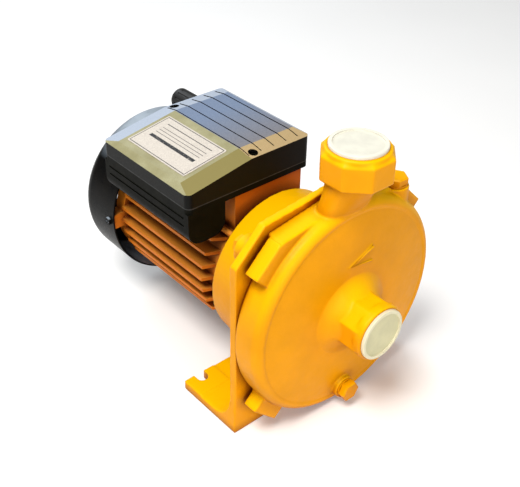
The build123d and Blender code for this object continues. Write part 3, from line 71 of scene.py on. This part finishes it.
def add_camera():
    """Camera at three quarters, looking down on the suction side from its left."""
    back = Vector((
        math.sin(CAMERA_AZIMUTH) * math.cos(CAMERA_ELEVATION),
        -math.cos(CAMERA_AZIMUTH) * math.cos(CAMERA_ELEVATION),
        math.sin(CAMERA_ELEVATION),
    ))
    level_right = Vector((math.cos(CAMERA_AZIMUTH), math.sin(CAMERA_AZIMUTH), 0))
    level_up = back.cross(level_right)
    right = level_right * math.cos(CAMERA_ROLL) + level_up * math.sin(CAMERA_ROLL)
    up = back.cross(right)
    data = bpy.data.cameras.new("camera")
    data.lens = LENS
    data.sensor_width = 36
    data.sensor_fit = "HORIZONTAL"
    data.clip_start = 0.01
    camera = bpy.data.objects.new("camera", data)
    bpy.context.scene.collection.objects.link(camera)
    turn = Matrix((right, up, back)).transposed().to_4x4()
    camera.matrix_world = Matrix.Translation(TARGET + back * CAMERA_DISTANCE) @ turn
    bpy.context.scene.camera = camera


def add_area_light(name, place, aim, size, power, colour):
    """Soft rectangular light at place, facing aim."""
    data = bpy.data.lights.new(name, "AREA")
    data.shape = "RECTANGLE"
    data.size = size[0]
    data.size_y = size[1]
    data.energy = power
    data.color = colour
    light = bpy.data.objects.new(name, data)
    light.location = place
    light.rotation_euler = (Vector(aim) - Vector(place)).to_track_quat("-Z", "Y").to_euler()
    bpy.context.scene.collection.objects.link(light)


def add_world():
    """Even pale surroundings."""
    world = bpy.data.worlds.new("studio")
    world.use_nodes = True
    background = world.node_tree.nodes["Background"]
    background.inputs["Color"].default_value = (1.0, 0.99, 0.97, 1)
    background.inputs["Strength"].default_value = WORLD_STRENGTH
    bpy.context.scene.world = world


# ---------------------------------------------------------------- shader helpers

def new_material(name):
    """Empty node material: returns it with its node tree and principled shader."""
    made = bpy.data.materials.new(name)
    made.use_nodes = True
    shader = made.node_tree.nodes["Principled BSDF"]
    return made, made.node_tree, shader


def noise_node(tree, scale, detail=4.0, roughness=0.55, stretch=None):
    """Noise over a piece's own coordinates; stretch squeezes it along each axis."""
    place = tree.nodes.new("ShaderNodeTexCoord")
    noise = tree.nodes.new("ShaderNodeTexNoise")
    noise.inputs["Scale"].default_value = scale
    noise.inputs["Detail"].default_value = detail
    noise.inputs["Roughness"].default_value = roughness
    if stretch is None:
        tree.links.new(place.outputs["Object"], noise.inputs["Vector"])
    else:
        mapping = tree.nodes.new("ShaderNodeMapping")
        mapping.inputs["Scale"].default_value = stretch
        tree.links.new(place.outputs["Object"], mapping.inputs["Vector"])
        tree.links.new(mapping.outputs["Vector"], noise.inputs["Vector"])
    return noise.outputs["Fac"]


def spread(tree, value, low, high, out_low=0.0, out_high=1.0):
    """Maps low to high in value onto out_low to out_high, held level beyond both ends."""
    ranged = tree.nodes.new("ShaderNodeMapRange")
    ranged.inputs["From Min"].default_value = low
    ranged.inputs["From Max"].default_value = high
    ranged.inputs["To Min"].default_value = out_low
    ranged.inputs["To Max"].default_value = out_high
    tree.links.new(value, ranged.inputs["Value"])
    return ranged.outputs["Result"]


def blend_colours(tree, factor, first, second):
    """Mix of two colours, each a tuple or a socket."""
    mix = tree.nodes.new("ShaderNodeMix")
    mix.data_type = "RGBA"
    tree.links.new(factor, mix.inputs["Factor"])
    for socket, colour in ((mix.inputs[6], first), (mix.inputs[7], second)):
        if isinstance(colour, tuple):
            socket.default_value = (*colour, 1)
        else:
            tree.links.new(colour, socket)
    return mix.outputs[2]


def bump_chain(tree, shader, layers):
    """Layers of bump: (height socket, depth in metres, strength)."""
    normal = None
    for height, depth, strength in layers:
        bump = tree.nodes.new("ShaderNodeBump")
        bump.inputs["Distance"].default_value = depth
        bump.inputs["Strength"].default_value = strength
        tree.links.new(height, bump.inputs["Height"])
        if normal is not None:
            tree.links.new(normal, bump.inputs["Normal"])
        normal = bump.outputs["Normal"]
    tree.links.new(normal, shader.inputs["Normal"])


def crevice(tree, reach):
    """1 on open surface, falling towards 0 in corners and gaps within reach."""
    shade = tree.nodes.new("ShaderNodeAmbientOcclusion")
    shade.inputs["Distance"].default_value = reach
    shade.samples = 4
    return shade.outputs["AO"]


def calculate(tree, operation, first, second=None):
    """One maths node on sockets or plain numbers."""
    node = tree.nodes.new("ShaderNodeMath")
    node.operation = operation
    for socket, value in zip(node.inputs, (first, second)):
        if value is None:
            continue
        if isinstance(value, (int, float)):
            socket.default_value = value
        else:
            tree.links.new(value, socket)
    return node.outputs[0]


def between(tree, value, low, high, soft):
    """1 where value lies between low and high; each edge fades over soft to either side."""
    rise = spread(tree, value, low - soft, low + soft)
    fall = spread(tree, value, high - soft, high + soft, 1.0, 0.0)
    return calculate(tree, "MULTIPLY", rise, fall)


def place_and_facing(tree):
    """(x, y, z) of the point in the piece's coordinates, and (x, y, z) that it faces."""
    place = tree.nodes.new("ShaderNodeTexCoord")
    split = tree.nodes.new("ShaderNodeSeparateXYZ")
    tree.links.new(place.outputs["Object"], split.inputs[0])
    facing = tree.nodes.new("ShaderNodeNewGeometry")
    facing_split = tree.nodes.new("ShaderNodeSeparateXYZ")
    tree.links.new(facing.outputs["Normal"], facing_split.inputs[0])
    return tuple(split.outputs), tuple(facing_split.outputs)


# ---------------------------------------------------------------- finishes

CREVICE_REACH = 10 * MM              # painted shade darkens corners closer than this
LUMPS = (75, 0.9 * MM, 0.35)         # noise scale, depth and strength of each layer of bumps
ORANGE_PEEL = (380, 0.22 * MM, 0.45)
FINE_GRAIN = (1500, 0.08 * MM, 0.35)


def cast_paint(name, colour, painted_top_light, painted_shade, roughness, coat):
    """Thick paint over a sand casting, with painted light on upward faces and painted shade on
    downward faces and in corners.
    """
    made, tree, shader = new_material(name)
    patches = spread(tree, noise_node(tree, 28, 5), 0.35, 0.7)
    tone = blend_colours(tree, patches, colour, tuple(c * 0.88 for c in colour))
    _, (_, _, facing_up) = place_and_facing(tree)
    # Painted light: faces turned upwards blend towards a lighter colour.
    tone = blend_colours(tree, spread(tree, facing_up, 0.15, 0.75), tone, painted_top_light)
    # Painted shade: faces turned downwards blend towards a darker colour.
    painted_underside_shade = tuple(0.45 * c + 0.55 * d for c, d in zip(colour, painted_shade))
    tone = blend_colours(tree, spread(tree, facing_up, -0.75, -0.15, 1.0, 0.0), tone, painted_underside_shade)
    # Painted shade: corners and gaps within reach blend towards the dark shade colour.
    corners = spread(tree, crevice(tree, CREVICE_REACH), 0.38, 0.94, 1.0, 0.0)
    tone = blend_colours(tree, corners, tone, painted_shade)
    tree.links.new(tone, shader.inputs["Base Color"])
    worn = spread(tree, noise_node(tree, 240, 3), 0.3, 0.7, roughness - 0.06, roughness + 0.08)
    tree.links.new(worn, shader.inputs["Roughness"])
    shader.inputs["Coat Weight"].default_value = coat
    shader.inputs["Coat Roughness"].default_value = 0.25
    shader.inputs["Specular IOR Level"].default_value = 0.08
    bump_chain(tree, shader, (
        (noise_node(tree, LUMPS[0], 3), *LUMPS[1:]),
        (noise_node(tree, ORANGE_PEEL[0], 3), *ORANGE_PEEL[1:]),
        (noise_node(tree, FINE_GRAIN[0], 2), *FINE_GRAIN[1:]),
    ))
    return made


def lid_painted_reflections(name):
    """Black moulding with painted reflections on its top: steel blue strips, khaki slope, tan
    bevels.
    """
    made, tree, shader = new_material(name)
    (_, y, _), (facing_x, facing_y, facing_z) = place_and_facing(tree)
    lid_low, lid_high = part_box("terminal_box_lid")
    towards_front = spread(tree, y, lid_low[1], lid_high[1], 1.0, 0.0)
    speckle = spread(tree, noise_node(tree, 1300, 3, 0.7), 0.3, 0.7)
    clouds = spread(tree, noise_node(tree, 45, 4), 0.35, 0.65)
    # Painted reflections: the top's colours stand in for bright surroundings mirrored in the black
    # plastic.
    reflected_steel_blue = blend_colours(tree, speckle, (0.145, 0.20, 0.31), (0.22, 0.275, 0.39))
    reflected_grey_end = blend_colours(tree, speckle, (0.16, 0.155, 0.17), (0.25, 0.235, 0.235))
    reflected_steel_blue = blend_colours(tree, spread(tree, towards_front, 0.35, 0.95), reflected_steel_blue, reflected_grey_end)
    reflected_khaki = blend_colours(tree, speckle, (0.30, 0.285, 0.16), (0.41, 0.39, 0.24))
    reflected_khaki = blend_colours(tree, clouds, reflected_khaki, (0.27, 0.25, 0.13))
    # Painted reflection on the bevels that face the front.
    tan = blend_colours(tree, speckle, (0.40, 0.29, 0.14), (0.50, 0.37, 0.20))
    # Painted pale reflection on faces turned to the rear and to the right.
    pale = blend_colours(tree, speckle, (0.34, 0.40, 0.50), (0.46, 0.52, 0.62))
    top = blend_colours(tree, spread(tree, facing_x, -0.12, -0.06, 1, 0), reflected_steel_blue, reflected_khaki)
    top = blend_colours(tree, spread(tree, facing_y, -0.08, -0.13), top, tan)
    flat_rear = between(tree, facing_y, 0.12, 0.5, 0.03)
    top = blend_colours(tree, flat_rear, top, pale)
    top = blend_colours(tree, between(tree, facing_x, 0.2, 0.75, 0.05), top, pale)
    # Darker painted reflection on the left corner of the front slope.
    corner = between(tree, facing_x, -0.30, -0.10, 0.02)
    front_slope = spread(tree, facing_y, -0.08, -0.13)
    darker_reflection_corner = calculate(tree, "MULTIPLY", corner, front_slope)
    top = blend_colours(tree, darker_reflection_corner, top, (0.24, 0.205, 0.075))
    # The moulding's own black, left on the sides.
    skirt = blend_colours(tree, speckle, (0.003, 0.003, 0.003), (0.006, 0.006, 0.005))
    side = spread(tree, facing_z, 0.45, 0.7)
    tree.links.new(blend_colours(tree, side, skirt, top), shader.inputs["Base Color"])
    worn = spread(tree, noise_node(tree, 500, 3), 0.3, 0.7, 0.34, 0.46)
    tree.links.new(worn, shader.inputs["Roughness"])
    shader.inputs["Specular IOR Level"].default_value = 0.08
    bump_chain(tree, shader, ((noise_node(tree, 2200, 2), 0.05 * MM, 0.5),))
    return made


def cap_finish(name, rim_colour, disc_colour, centre, across_axes, disc_radius):
    """Polythene cap with a duller recessed disc in its middle."""
    made, tree, shader = new_material(name)
    place, _ = place_and_facing(tree)
    offsets = [calculate(tree, "SUBTRACT", place[axis], centre[axis]) for axis in across_axes]
    squares = [calculate(tree, "MULTIPLY", offset, offset) for offset in offsets]
    radius = calculate(tree, "SQRT", calculate(tree, "ADD", *squares))
    clouds = spread(tree, noise_node(tree, 90, 4), 0.35, 0.65)
    rim = blend_colours(tree, clouds, rim_colour, tuple(c * 0.92 for c in rim_colour))
    disc = blend_colours(tree, clouds, disc_colour, tuple(c * 0.9 for c in disc_colour))
    inside = spread(tree, radius, disc_radius - 0.6 * MM, disc_radius, 1.0, 0.0)
    tree.links.new(blend_colours(tree, inside, rim, disc), shader.inputs["Base Color"])
    worn = spread(tree, noise_node(tree, 400, 3), 0.3, 0.7, 0.45, 0.6)
    tree.links.new(worn, shader.inputs["Roughness"])
    shader.inputs["Specular IOR Level"].default_value = 0.2
    bump_chain(tree, shader, ((noise_node(tree, 900, 2), 0.06 * MM, 0.5),))
    return made


PLATE_FRAME = (1.3 * MM, 2.0 * MM)   # the frame line lies between these, in from the edge
PLATE_END_MARGIN = 9 * MM            # the lines stop this far from the plate's ends
PLATE_LINES = (                      # start, as a share of the width, and thickness
    (0.36, 3.2 * MM),
    (0.52, 0.5 * MM),
    (0.60, 0.5 * MM),
    (0.68, 0.5 * MM),
    (0.80, 0.8 * MM),
)


def plate_finish(name):
    """Printed rating plate: pale, with a thin dark frame, a dark band and fine plain lines."""
    made, tree, shader = new_material(name)
    (x, y, _), _ = place_and_facing(tree)
    low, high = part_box("rating_plate")
    edge_distances = []
    for value, start, end in ((x, low[0], high[0]), (y, low[1], high[1])):
        middle = (start + end) / 2
        offset = calculate(tree, "ABSOLUTE", calculate(tree, "SUBTRACT", value, middle))
        edge_distances.append(calculate(tree, "SUBTRACT", (end - start) / 2, offset))
    to_edge = calculate(tree, "MINIMUM", *edge_distances)
    speckle = spread(tree, noise_node(tree, 900, 4, 0.7), 0.35, 0.65)
    tone = blend_colours(tree, speckle, (0.66, 0.61, 0.54), (0.50, 0.45, 0.40))
    printed = between(tree, to_edge, *PLATE_FRAME, 0.15 * MM)
    clear_of_ends = calculate(tree, "GREATER_THAN", edge_distances[1], PLATE_END_MARGIN)
    for share, thickness in PLATE_LINES:
        start = low[0] + (high[0] - low[0]) * share
        line = between(tree, x, start, start + thickness, 0.1 * MM)
        line = calculate(tree, "MULTIPLY", line, clear_of_ends)
        printed = calculate(tree, "MAXIMUM", printed, line)
    patchy = spread(tree, noise_node(tree, 700, 2), 0.2, 0.45, 0.45, 1.0)
    ink = calculate(tree, "MULTIPLY", printed, patchy)
    tone = blend_colours(tree, ink, tone, (0.012, 0.012, 0.014))
    tree.links.new(tone, shader.inputs["Base Color"])
    worn = spread(tree, noise_node(tree, 500, 3), 0.3, 0.7, 0.4, 0.55)
    tree.links.new(worn, shader.inputs["Roughness"])
    shader.inputs["Specular IOR Level"].default_value = 0.25
    bump_chain(tree, shader, ((speckle, 0.02 * MM, 0.4),))
    return made


def moulded_plastic(name, colour, second, roughness, gloss=0.3):
    """Fine-textured moulded plastic."""
    made, tree, shader = new_material(name)
    clouds = spread(tree, noise_node(tree, 60, 4), 0.35, 0.65)
    tree.links.new(blend_colours(tree, clouds, colour, second), shader.inputs["Base Color"])
    worn = spread(tree, noise_node(tree, 400, 3), 0.3, 0.7, roughness - 0.05, roughness + 0.06)
    tree.links.new(worn, shader.inputs["Roughness"])
    shader.inputs["Specular IOR Level"].default_value = gloss
    bump_chain(tree, shader, ((noise_node(tree, 2600, 2), 0.05 * MM, 0.5),))
    return made


def turned_metal(name, colour, second, roughness, lines=(1, 40, 1), metallic=1.0):
    """Machined or rolled metal with fine lines that run round the shaft line."""
    made, tree, shader = new_material(name)
    streaks = noise_node(tree, 60, 4, 0.6, stretch=lines)
    tree.links.new(
        blend_colours(tree, spread(tree, streaks, 0.35, 0.65), colour, second),
        shader.inputs["Base Color"],
    )
    shader.inputs["Metallic"].default_value = metallic
    worn = spread(tree, noise_node(tree, 180, 3), 0.3, 0.7, roughness - 0.06, roughness + 0.1)
    tree.links.new(worn, shader.inputs["Roughness"])
    bump_chain(tree, shader, (
        (streaks, 0.03 * MM, 0.4),
        (noise_node(tree, 900, 3), 0.02 * MM, 0.4),
    ))
    return made


def cover_enamel(name):
    """Black enamel on the pressed fan cover, with a painted pale reflection along its top."""
    made, tree, shader = new_material(name)
    clouds = spread(tree, noise_node(tree, 60, 4), 0.35, 0.65)
    tone = blend_colours(tree, clouds, (0.003, 0.003, 0.003), (0.006, 0.005, 0.004))
    _, (_, _, facing_up) = place_and_facing(tree)
    # Painted reflection: faces turned upwards blend, patchy by noise, towards a pale blue-grey.
    top_reflection_mask = spread(tree, facing_up, 0.62, 0.93)
    patchy = spread(tree, noise_node(tree, 35, 5), 0.25, 0.6, 0.55, 1.0)
    dust_and_reflection = calculate(tree, "MULTIPLY", top_reflection_mask, patchy)
    tone = blend_colours(tree, dust_and_reflection, tone, (0.34, 0.40, 0.47))
    tree.links.new(tone, shader.inputs["Base Color"])
    worn = spread(tree, noise_node(tree, 400, 3), 0.3, 0.7, 0.26, 0.36)
    tree.links.new(worn, shader.inputs["Roughness"])
    shader.inputs["Specular IOR Level"].default_value = 0.05
    bump_chain(tree, shader, ((noise_node(tree, 1400, 2), 0.06 * MM, 0.5),))
    return made


def rubber(name, colour, roughness=0.75):
    """Matt rubber or fibre, a little dusty."""
    made, tree, shader = new_material(name)
    dust_and_reflection = spread(tree, noise_node(tree, 120, 5), 0.45, 0.75)
    tree.links.new(
        blend_colours(tree, dust_and_reflection, colour, tuple(c * 1.8 + 0.01 for c in colour)),
        shader.inputs["Base Color"],
    )
    worn = spread(tree, noise_node(tree, 500, 3), 0.3, 0.7, roughness - 0.08, roughness + 0.1)
    tree.links.new(worn, shader.inputs["Roughness"])
    bump_chain(tree, shader, ((noise_node(tree, 1500, 3), 0.04 * MM, 0.5),))
    return made


def box_middle(name):
    """Middle of a node's CAD box."""
    low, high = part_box(name)
    return tuple((a + b) / 2 for a, b in zip(low, high))


CAP_DISC_RADIUS = 18.7 * MM
MATERIALS = {
    # cast_paint colours: the paint, painted light on faces turned up, painted shade below and in
    # corners.
    "yellow_paint": cast_paint(
        "yellow_paint", (0.82, 0.325, 0.0), (0.95, 0.50, 0.0), (0.26, 0.05, 0.0), 0.42, 0.02),
    "yellow_brass": cast_paint(
        "yellow_fitting", (0.76, 0.28, 0.0), (0.88, 0.40, 0.0), (0.24, 0.04, 0.0), 0.38, 0.04),
    "orange_paint": cast_paint(
        "orange_paint", (0.64, 0.175, 0.012), (0.84, 0.31, 0.035), (0.075, 0.004, 0.004),
        0.45, 0.04),
    "black_cover": cover_enamel("cover_enamel"),
    "box_plastic": moulded_plastic(
        "box_plastic", (0.003, 0.003, 0.002), (0.006, 0.006, 0.004), 0.45, gloss=0.03),
    "lid_paint": lid_painted_reflections("lid_painted_reflections"),
    "cap_plastic": cap_finish(
        "discharge_cap_plastic", (0.78, 0.76, 0.66), (0.72, 0.71, 0.62),
        box_middle("discharge_port_cap"), (0, 1), CAP_DISC_RADIUS),
    "suction_cap": cap_finish(
        "suction_cap_plastic", (0.80, 0.74, 0.52), (0.66, 0.62, 0.38),
        box_middle("suction_port_cap"), (0, 2), CAP_DISC_RADIUS),
    "brass": turned_metal("brass", (0.62, 0.42, 0.16), (0.52, 0.34, 0.12), 0.32),
    "steel": turned_metal("steel", (0.55, 0.55, 0.56), (0.45, 0.45, 0.46), 0.3),
    "zinc": turned_metal("zinc", (0.60, 0.60, 0.57), (0.50, 0.50, 0.48), 0.38),
    "rubber": rubber("rubber", (0.012, 0.012, 0.012)),
    "ceramic": moulded_plastic("ceramic", (0.78, 0.77, 0.72), (0.74, 0.73, 0.68), 0.25),
    "carbon": moulded_plastic("carbon", (0.03, 0.03, 0.032), (0.04, 0.04, 0.042), 0.35),
    "lamination": turned_metal(
        "lamination", (0.30, 0.30, 0.31), (0.20, 0.20, 0.21), 0.5, (1, 120, 1)),
    "copper": turned_metal("copper", (0.55, 0.20, 0.07), (0.42, 0.14, 0.05), 0.35, (8, 8, 8)),
    "alu": turned_metal("alu", (0.70, 0.70, 0.71), (0.62, 0.62, 0.63), 0.4),
    "fan_plastic": moulded_plastic("fan_plastic", (0.012, 0.012, 0.012), (0.02, 0.02, 0.019), 0.5),
    "fibre": rubber("fibre", (0.22, 0.05, 0.03), 0.8),
    "plate_metal": plate_finish("plate_print"),
    "cap_alu": turned_metal("cap_alu", (0.72, 0.72, 0.72), (0.66, 0.66, 0.66), 0.3),
    "block_plastic": moulded_plastic(
        "block_plastic", (0.06, 0.035, 0.02), (0.07, 0.04, 0.022), 0.35),
    "lead_plastic": moulded_plastic("lead_plastic", (0.02, 0.06, 0.25), (0.02, 0.05, 0.2), 0.4),
}


# Pieces that are painted over with what they are fixed to, or that need their own finish.
PAINTED_OVER = {
    "casing_bolts": "yellow_paint",
    "casing_bolt_washers": "yellow_paint",
    "tie_rods": "orange_paint",
    "tie_rod_nuts": "orange_paint",
    "fan_cover_screws": "black_cover",
    "lid_screws": "box_plastic",
    "suction_port_cap": "suction_cap",
    "priming_plug_washer": "yellow_brass",
    "drain_plug_washer": "yellow_brass",
}


def dress_nodes():
    """Gives every CAD node the material of its slot in the record, or the one painted over it."""
    for entry in frame["record"]["subparts"]:
        node = frame["nodes"][entry["node"]]
        node.data.materials.clear()
        slot = PAINTED_OVER.get(entry["node"], entry["material_slot"])
        node.data.materials.append(MATERIALS[slot])


# ---------------------------------------------------------------- castings and softened edges

EDGE_ROUNDING = {            # width in mm
    "suction_port_cap": 0.5, "discharge_port_cap": 0.5,
    "priming_plug": 0.5, "drain_plug": 0.5,
    "casing_bolts": 0.5, "casing_bolt_washers": 0.3,
    "motor_frame": 0.7, "rear_end_shield": 0.8,
    "terminal_box_base": 0.7, "terminal_box_lid": 0.7,
    "cable_gland_body": 0.4, "gland_nut": 0.4, "fan_cover": 0.4,
    "lid_screws": 0.25, "fan_cover_screws": 0.25, "tie_rod_nuts": 0.3,
    "cooling_fan": 0.3, "impeller": 0.4, "rotor_shaft": 0.2,
}


def body_of_node(name):
    """The record's body that holds a node."""
    for body, nodes in frame["record"]["behaviour"]["bodies"].items():
        if name in nodes:
            return body
    raise KeyError(name)


def soften_edges():
    """Rounds the edges of kept CAD nodes, as moulding, machining and paint leave them."""
    for name, width in EDGE_ROUNDING.items():
        bevel = frame["nodes"][name].modifiers.new("rounded_edges", "BEVEL")
        bevel.width = width * MM
        bevel.segments = 2
        bevel.limit_method = "ANGLE"
        bevel.angle_limit = math.radians(35)
        bevel.harden_normals = True


CASTINGS = {                 # side of the voxels, in mm
    "volute_casing": 0.9,
    "motor_bracket": 1.0,
}
SMOOTHING_ROUNDS = 4
CASTING_FACES_KEPT = 0.4     # share of the even mesh's faces


def make_casting(name, voxel):
    """Stands a copy with the soft corners of a sand casting in for a CAD node."""
    node = frame["nodes"][name]
    mesh = node.data.copy()
    mesh.name = name + "_casting"
    casting = bpy.data.objects.new(name + "_casting", mesh)
    bpy.context.scene.collection.objects.link(casting)
    casting.matrix_world = node.matrix_world
    remesh = casting.modifiers.new("even", "REMESH")
    remesh.mode = "VOXEL"
    remesh.voxel_size = voxel * MM
    smooth = casting.modifiers.new("soft", "CORRECTIVE_SMOOTH")
    smooth.iterations = SMOOTHING_ROUNDS
    smooth.factor = 0.5
    smooth.smooth_type = "SIMPLE"
    smooth.use_only_smooth = True
    thin = casting.modifiers.new("lighter", "DECIMATE")
    thin.ratio = CASTING_FACES_KEPT
    depsgraph = bpy.context.evaluated_depsgraph_get()
    settled = bpy.data.meshes.new_from_object(casting.evaluated_get(depsgraph))
    casting.modifiers.clear()
    casting.data = settled
    settled.shade_smooth()
    slot = next(e["material_slot"] for e in frame["record"]["subparts"] if e["node"] == name)
    settled.materials.clear()
    settled.materials.append(MATERIALS[slot])
    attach(casting, body_of_node(name))
    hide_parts(name)


ARROW_POINTS = ((18.6, 152.4), (-3.7, 143.5), (18.0, 140.0))    # x and z of its corners, in mm
ARROW_Y = -92.4 * MM
ARROW_RADIUS = 1.2 * MM


def add_arrow():
    """Cast arrow on the dome that shows the direction of rotation, as a rounded ridge."""
    curve = bpy.data.curves.new("cast_arrow", "CURVE")
    curve.dimensions = "3D"
    curve.bevel_depth = ARROW_RADIUS
    curve.bevel_resolution = 3
    curve.use_fill_caps = True
    line = curve.splines.new("POLY")
    line.points.add(len(ARROW_POINTS) - 1)
    for point, (x, z) in zip(line.points, ARROW_POINTS):
        point.co = (x * MM, ARROW_Y, z * MM, 1)
    drawn = bpy.data.objects.new("cast_arrow_curve", curve)
    mesh = bpy.data.meshes.new_from_object(drawn)
    bpy.data.objects.remove(drawn)
    arrow = bpy.data.objects.new("cast_arrow", mesh)
    bpy.context.scene.collection.objects.link(arrow)
    mesh.shade_smooth()
    mesh.materials.clear()
    mesh.materials.append(MATERIALS["yellow_paint"])
    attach(arrow, body_of_node("volute_casing"))


# ---------------------------------------------------------------- floor

FLOOR_GLOW = 0.12
FLOOR_REACH = 3.0            # from the middle to each edge


def add_floor():
    """Plain pale floor that runs well outside the camera's view."""
    mesh = bpy.data.meshes.new("floor")
    shape = bmesh.new()
    bmesh.ops.create_grid(shape, x_segments=8, y_segments=8, size=FLOOR_REACH)
    shape.to_mesh(mesh)
    shape.free()
    floor = bpy.data.objects.new("floor", mesh)
    bpy.context.scene.collection.objects.link(floor)
    made, tree, shader = new_material("floor_paper")
    shader.inputs["Roughness"].default_value = 0.9
    shader.inputs["Emission Color"].default_value = (1, 1, 1, 1)
    shader.inputs["Emission Strength"].default_value = FLOOR_GLOW
    tone = spread(tree, noise_node(tree, 3, 3), 0.3, 0.7)
    tree.links.new(
        blend_colours(tree, tone, (0.93, 0.93, 0.93), (0.90, 0.90, 0.90)),
        shader.inputs["Base Color"],
    )
    mesh.materials.append(made)


add_camera()
add_world()
for light in LIGHTS:
    add_area_light(*light)
dress_nodes()
soften_edges()
for name, voxel in CASTINGS.items():
    make_casting(name, voxel)
add_arrow()
add_floor()
bpy.context.scene.view_settings.view_transform = "Standard"
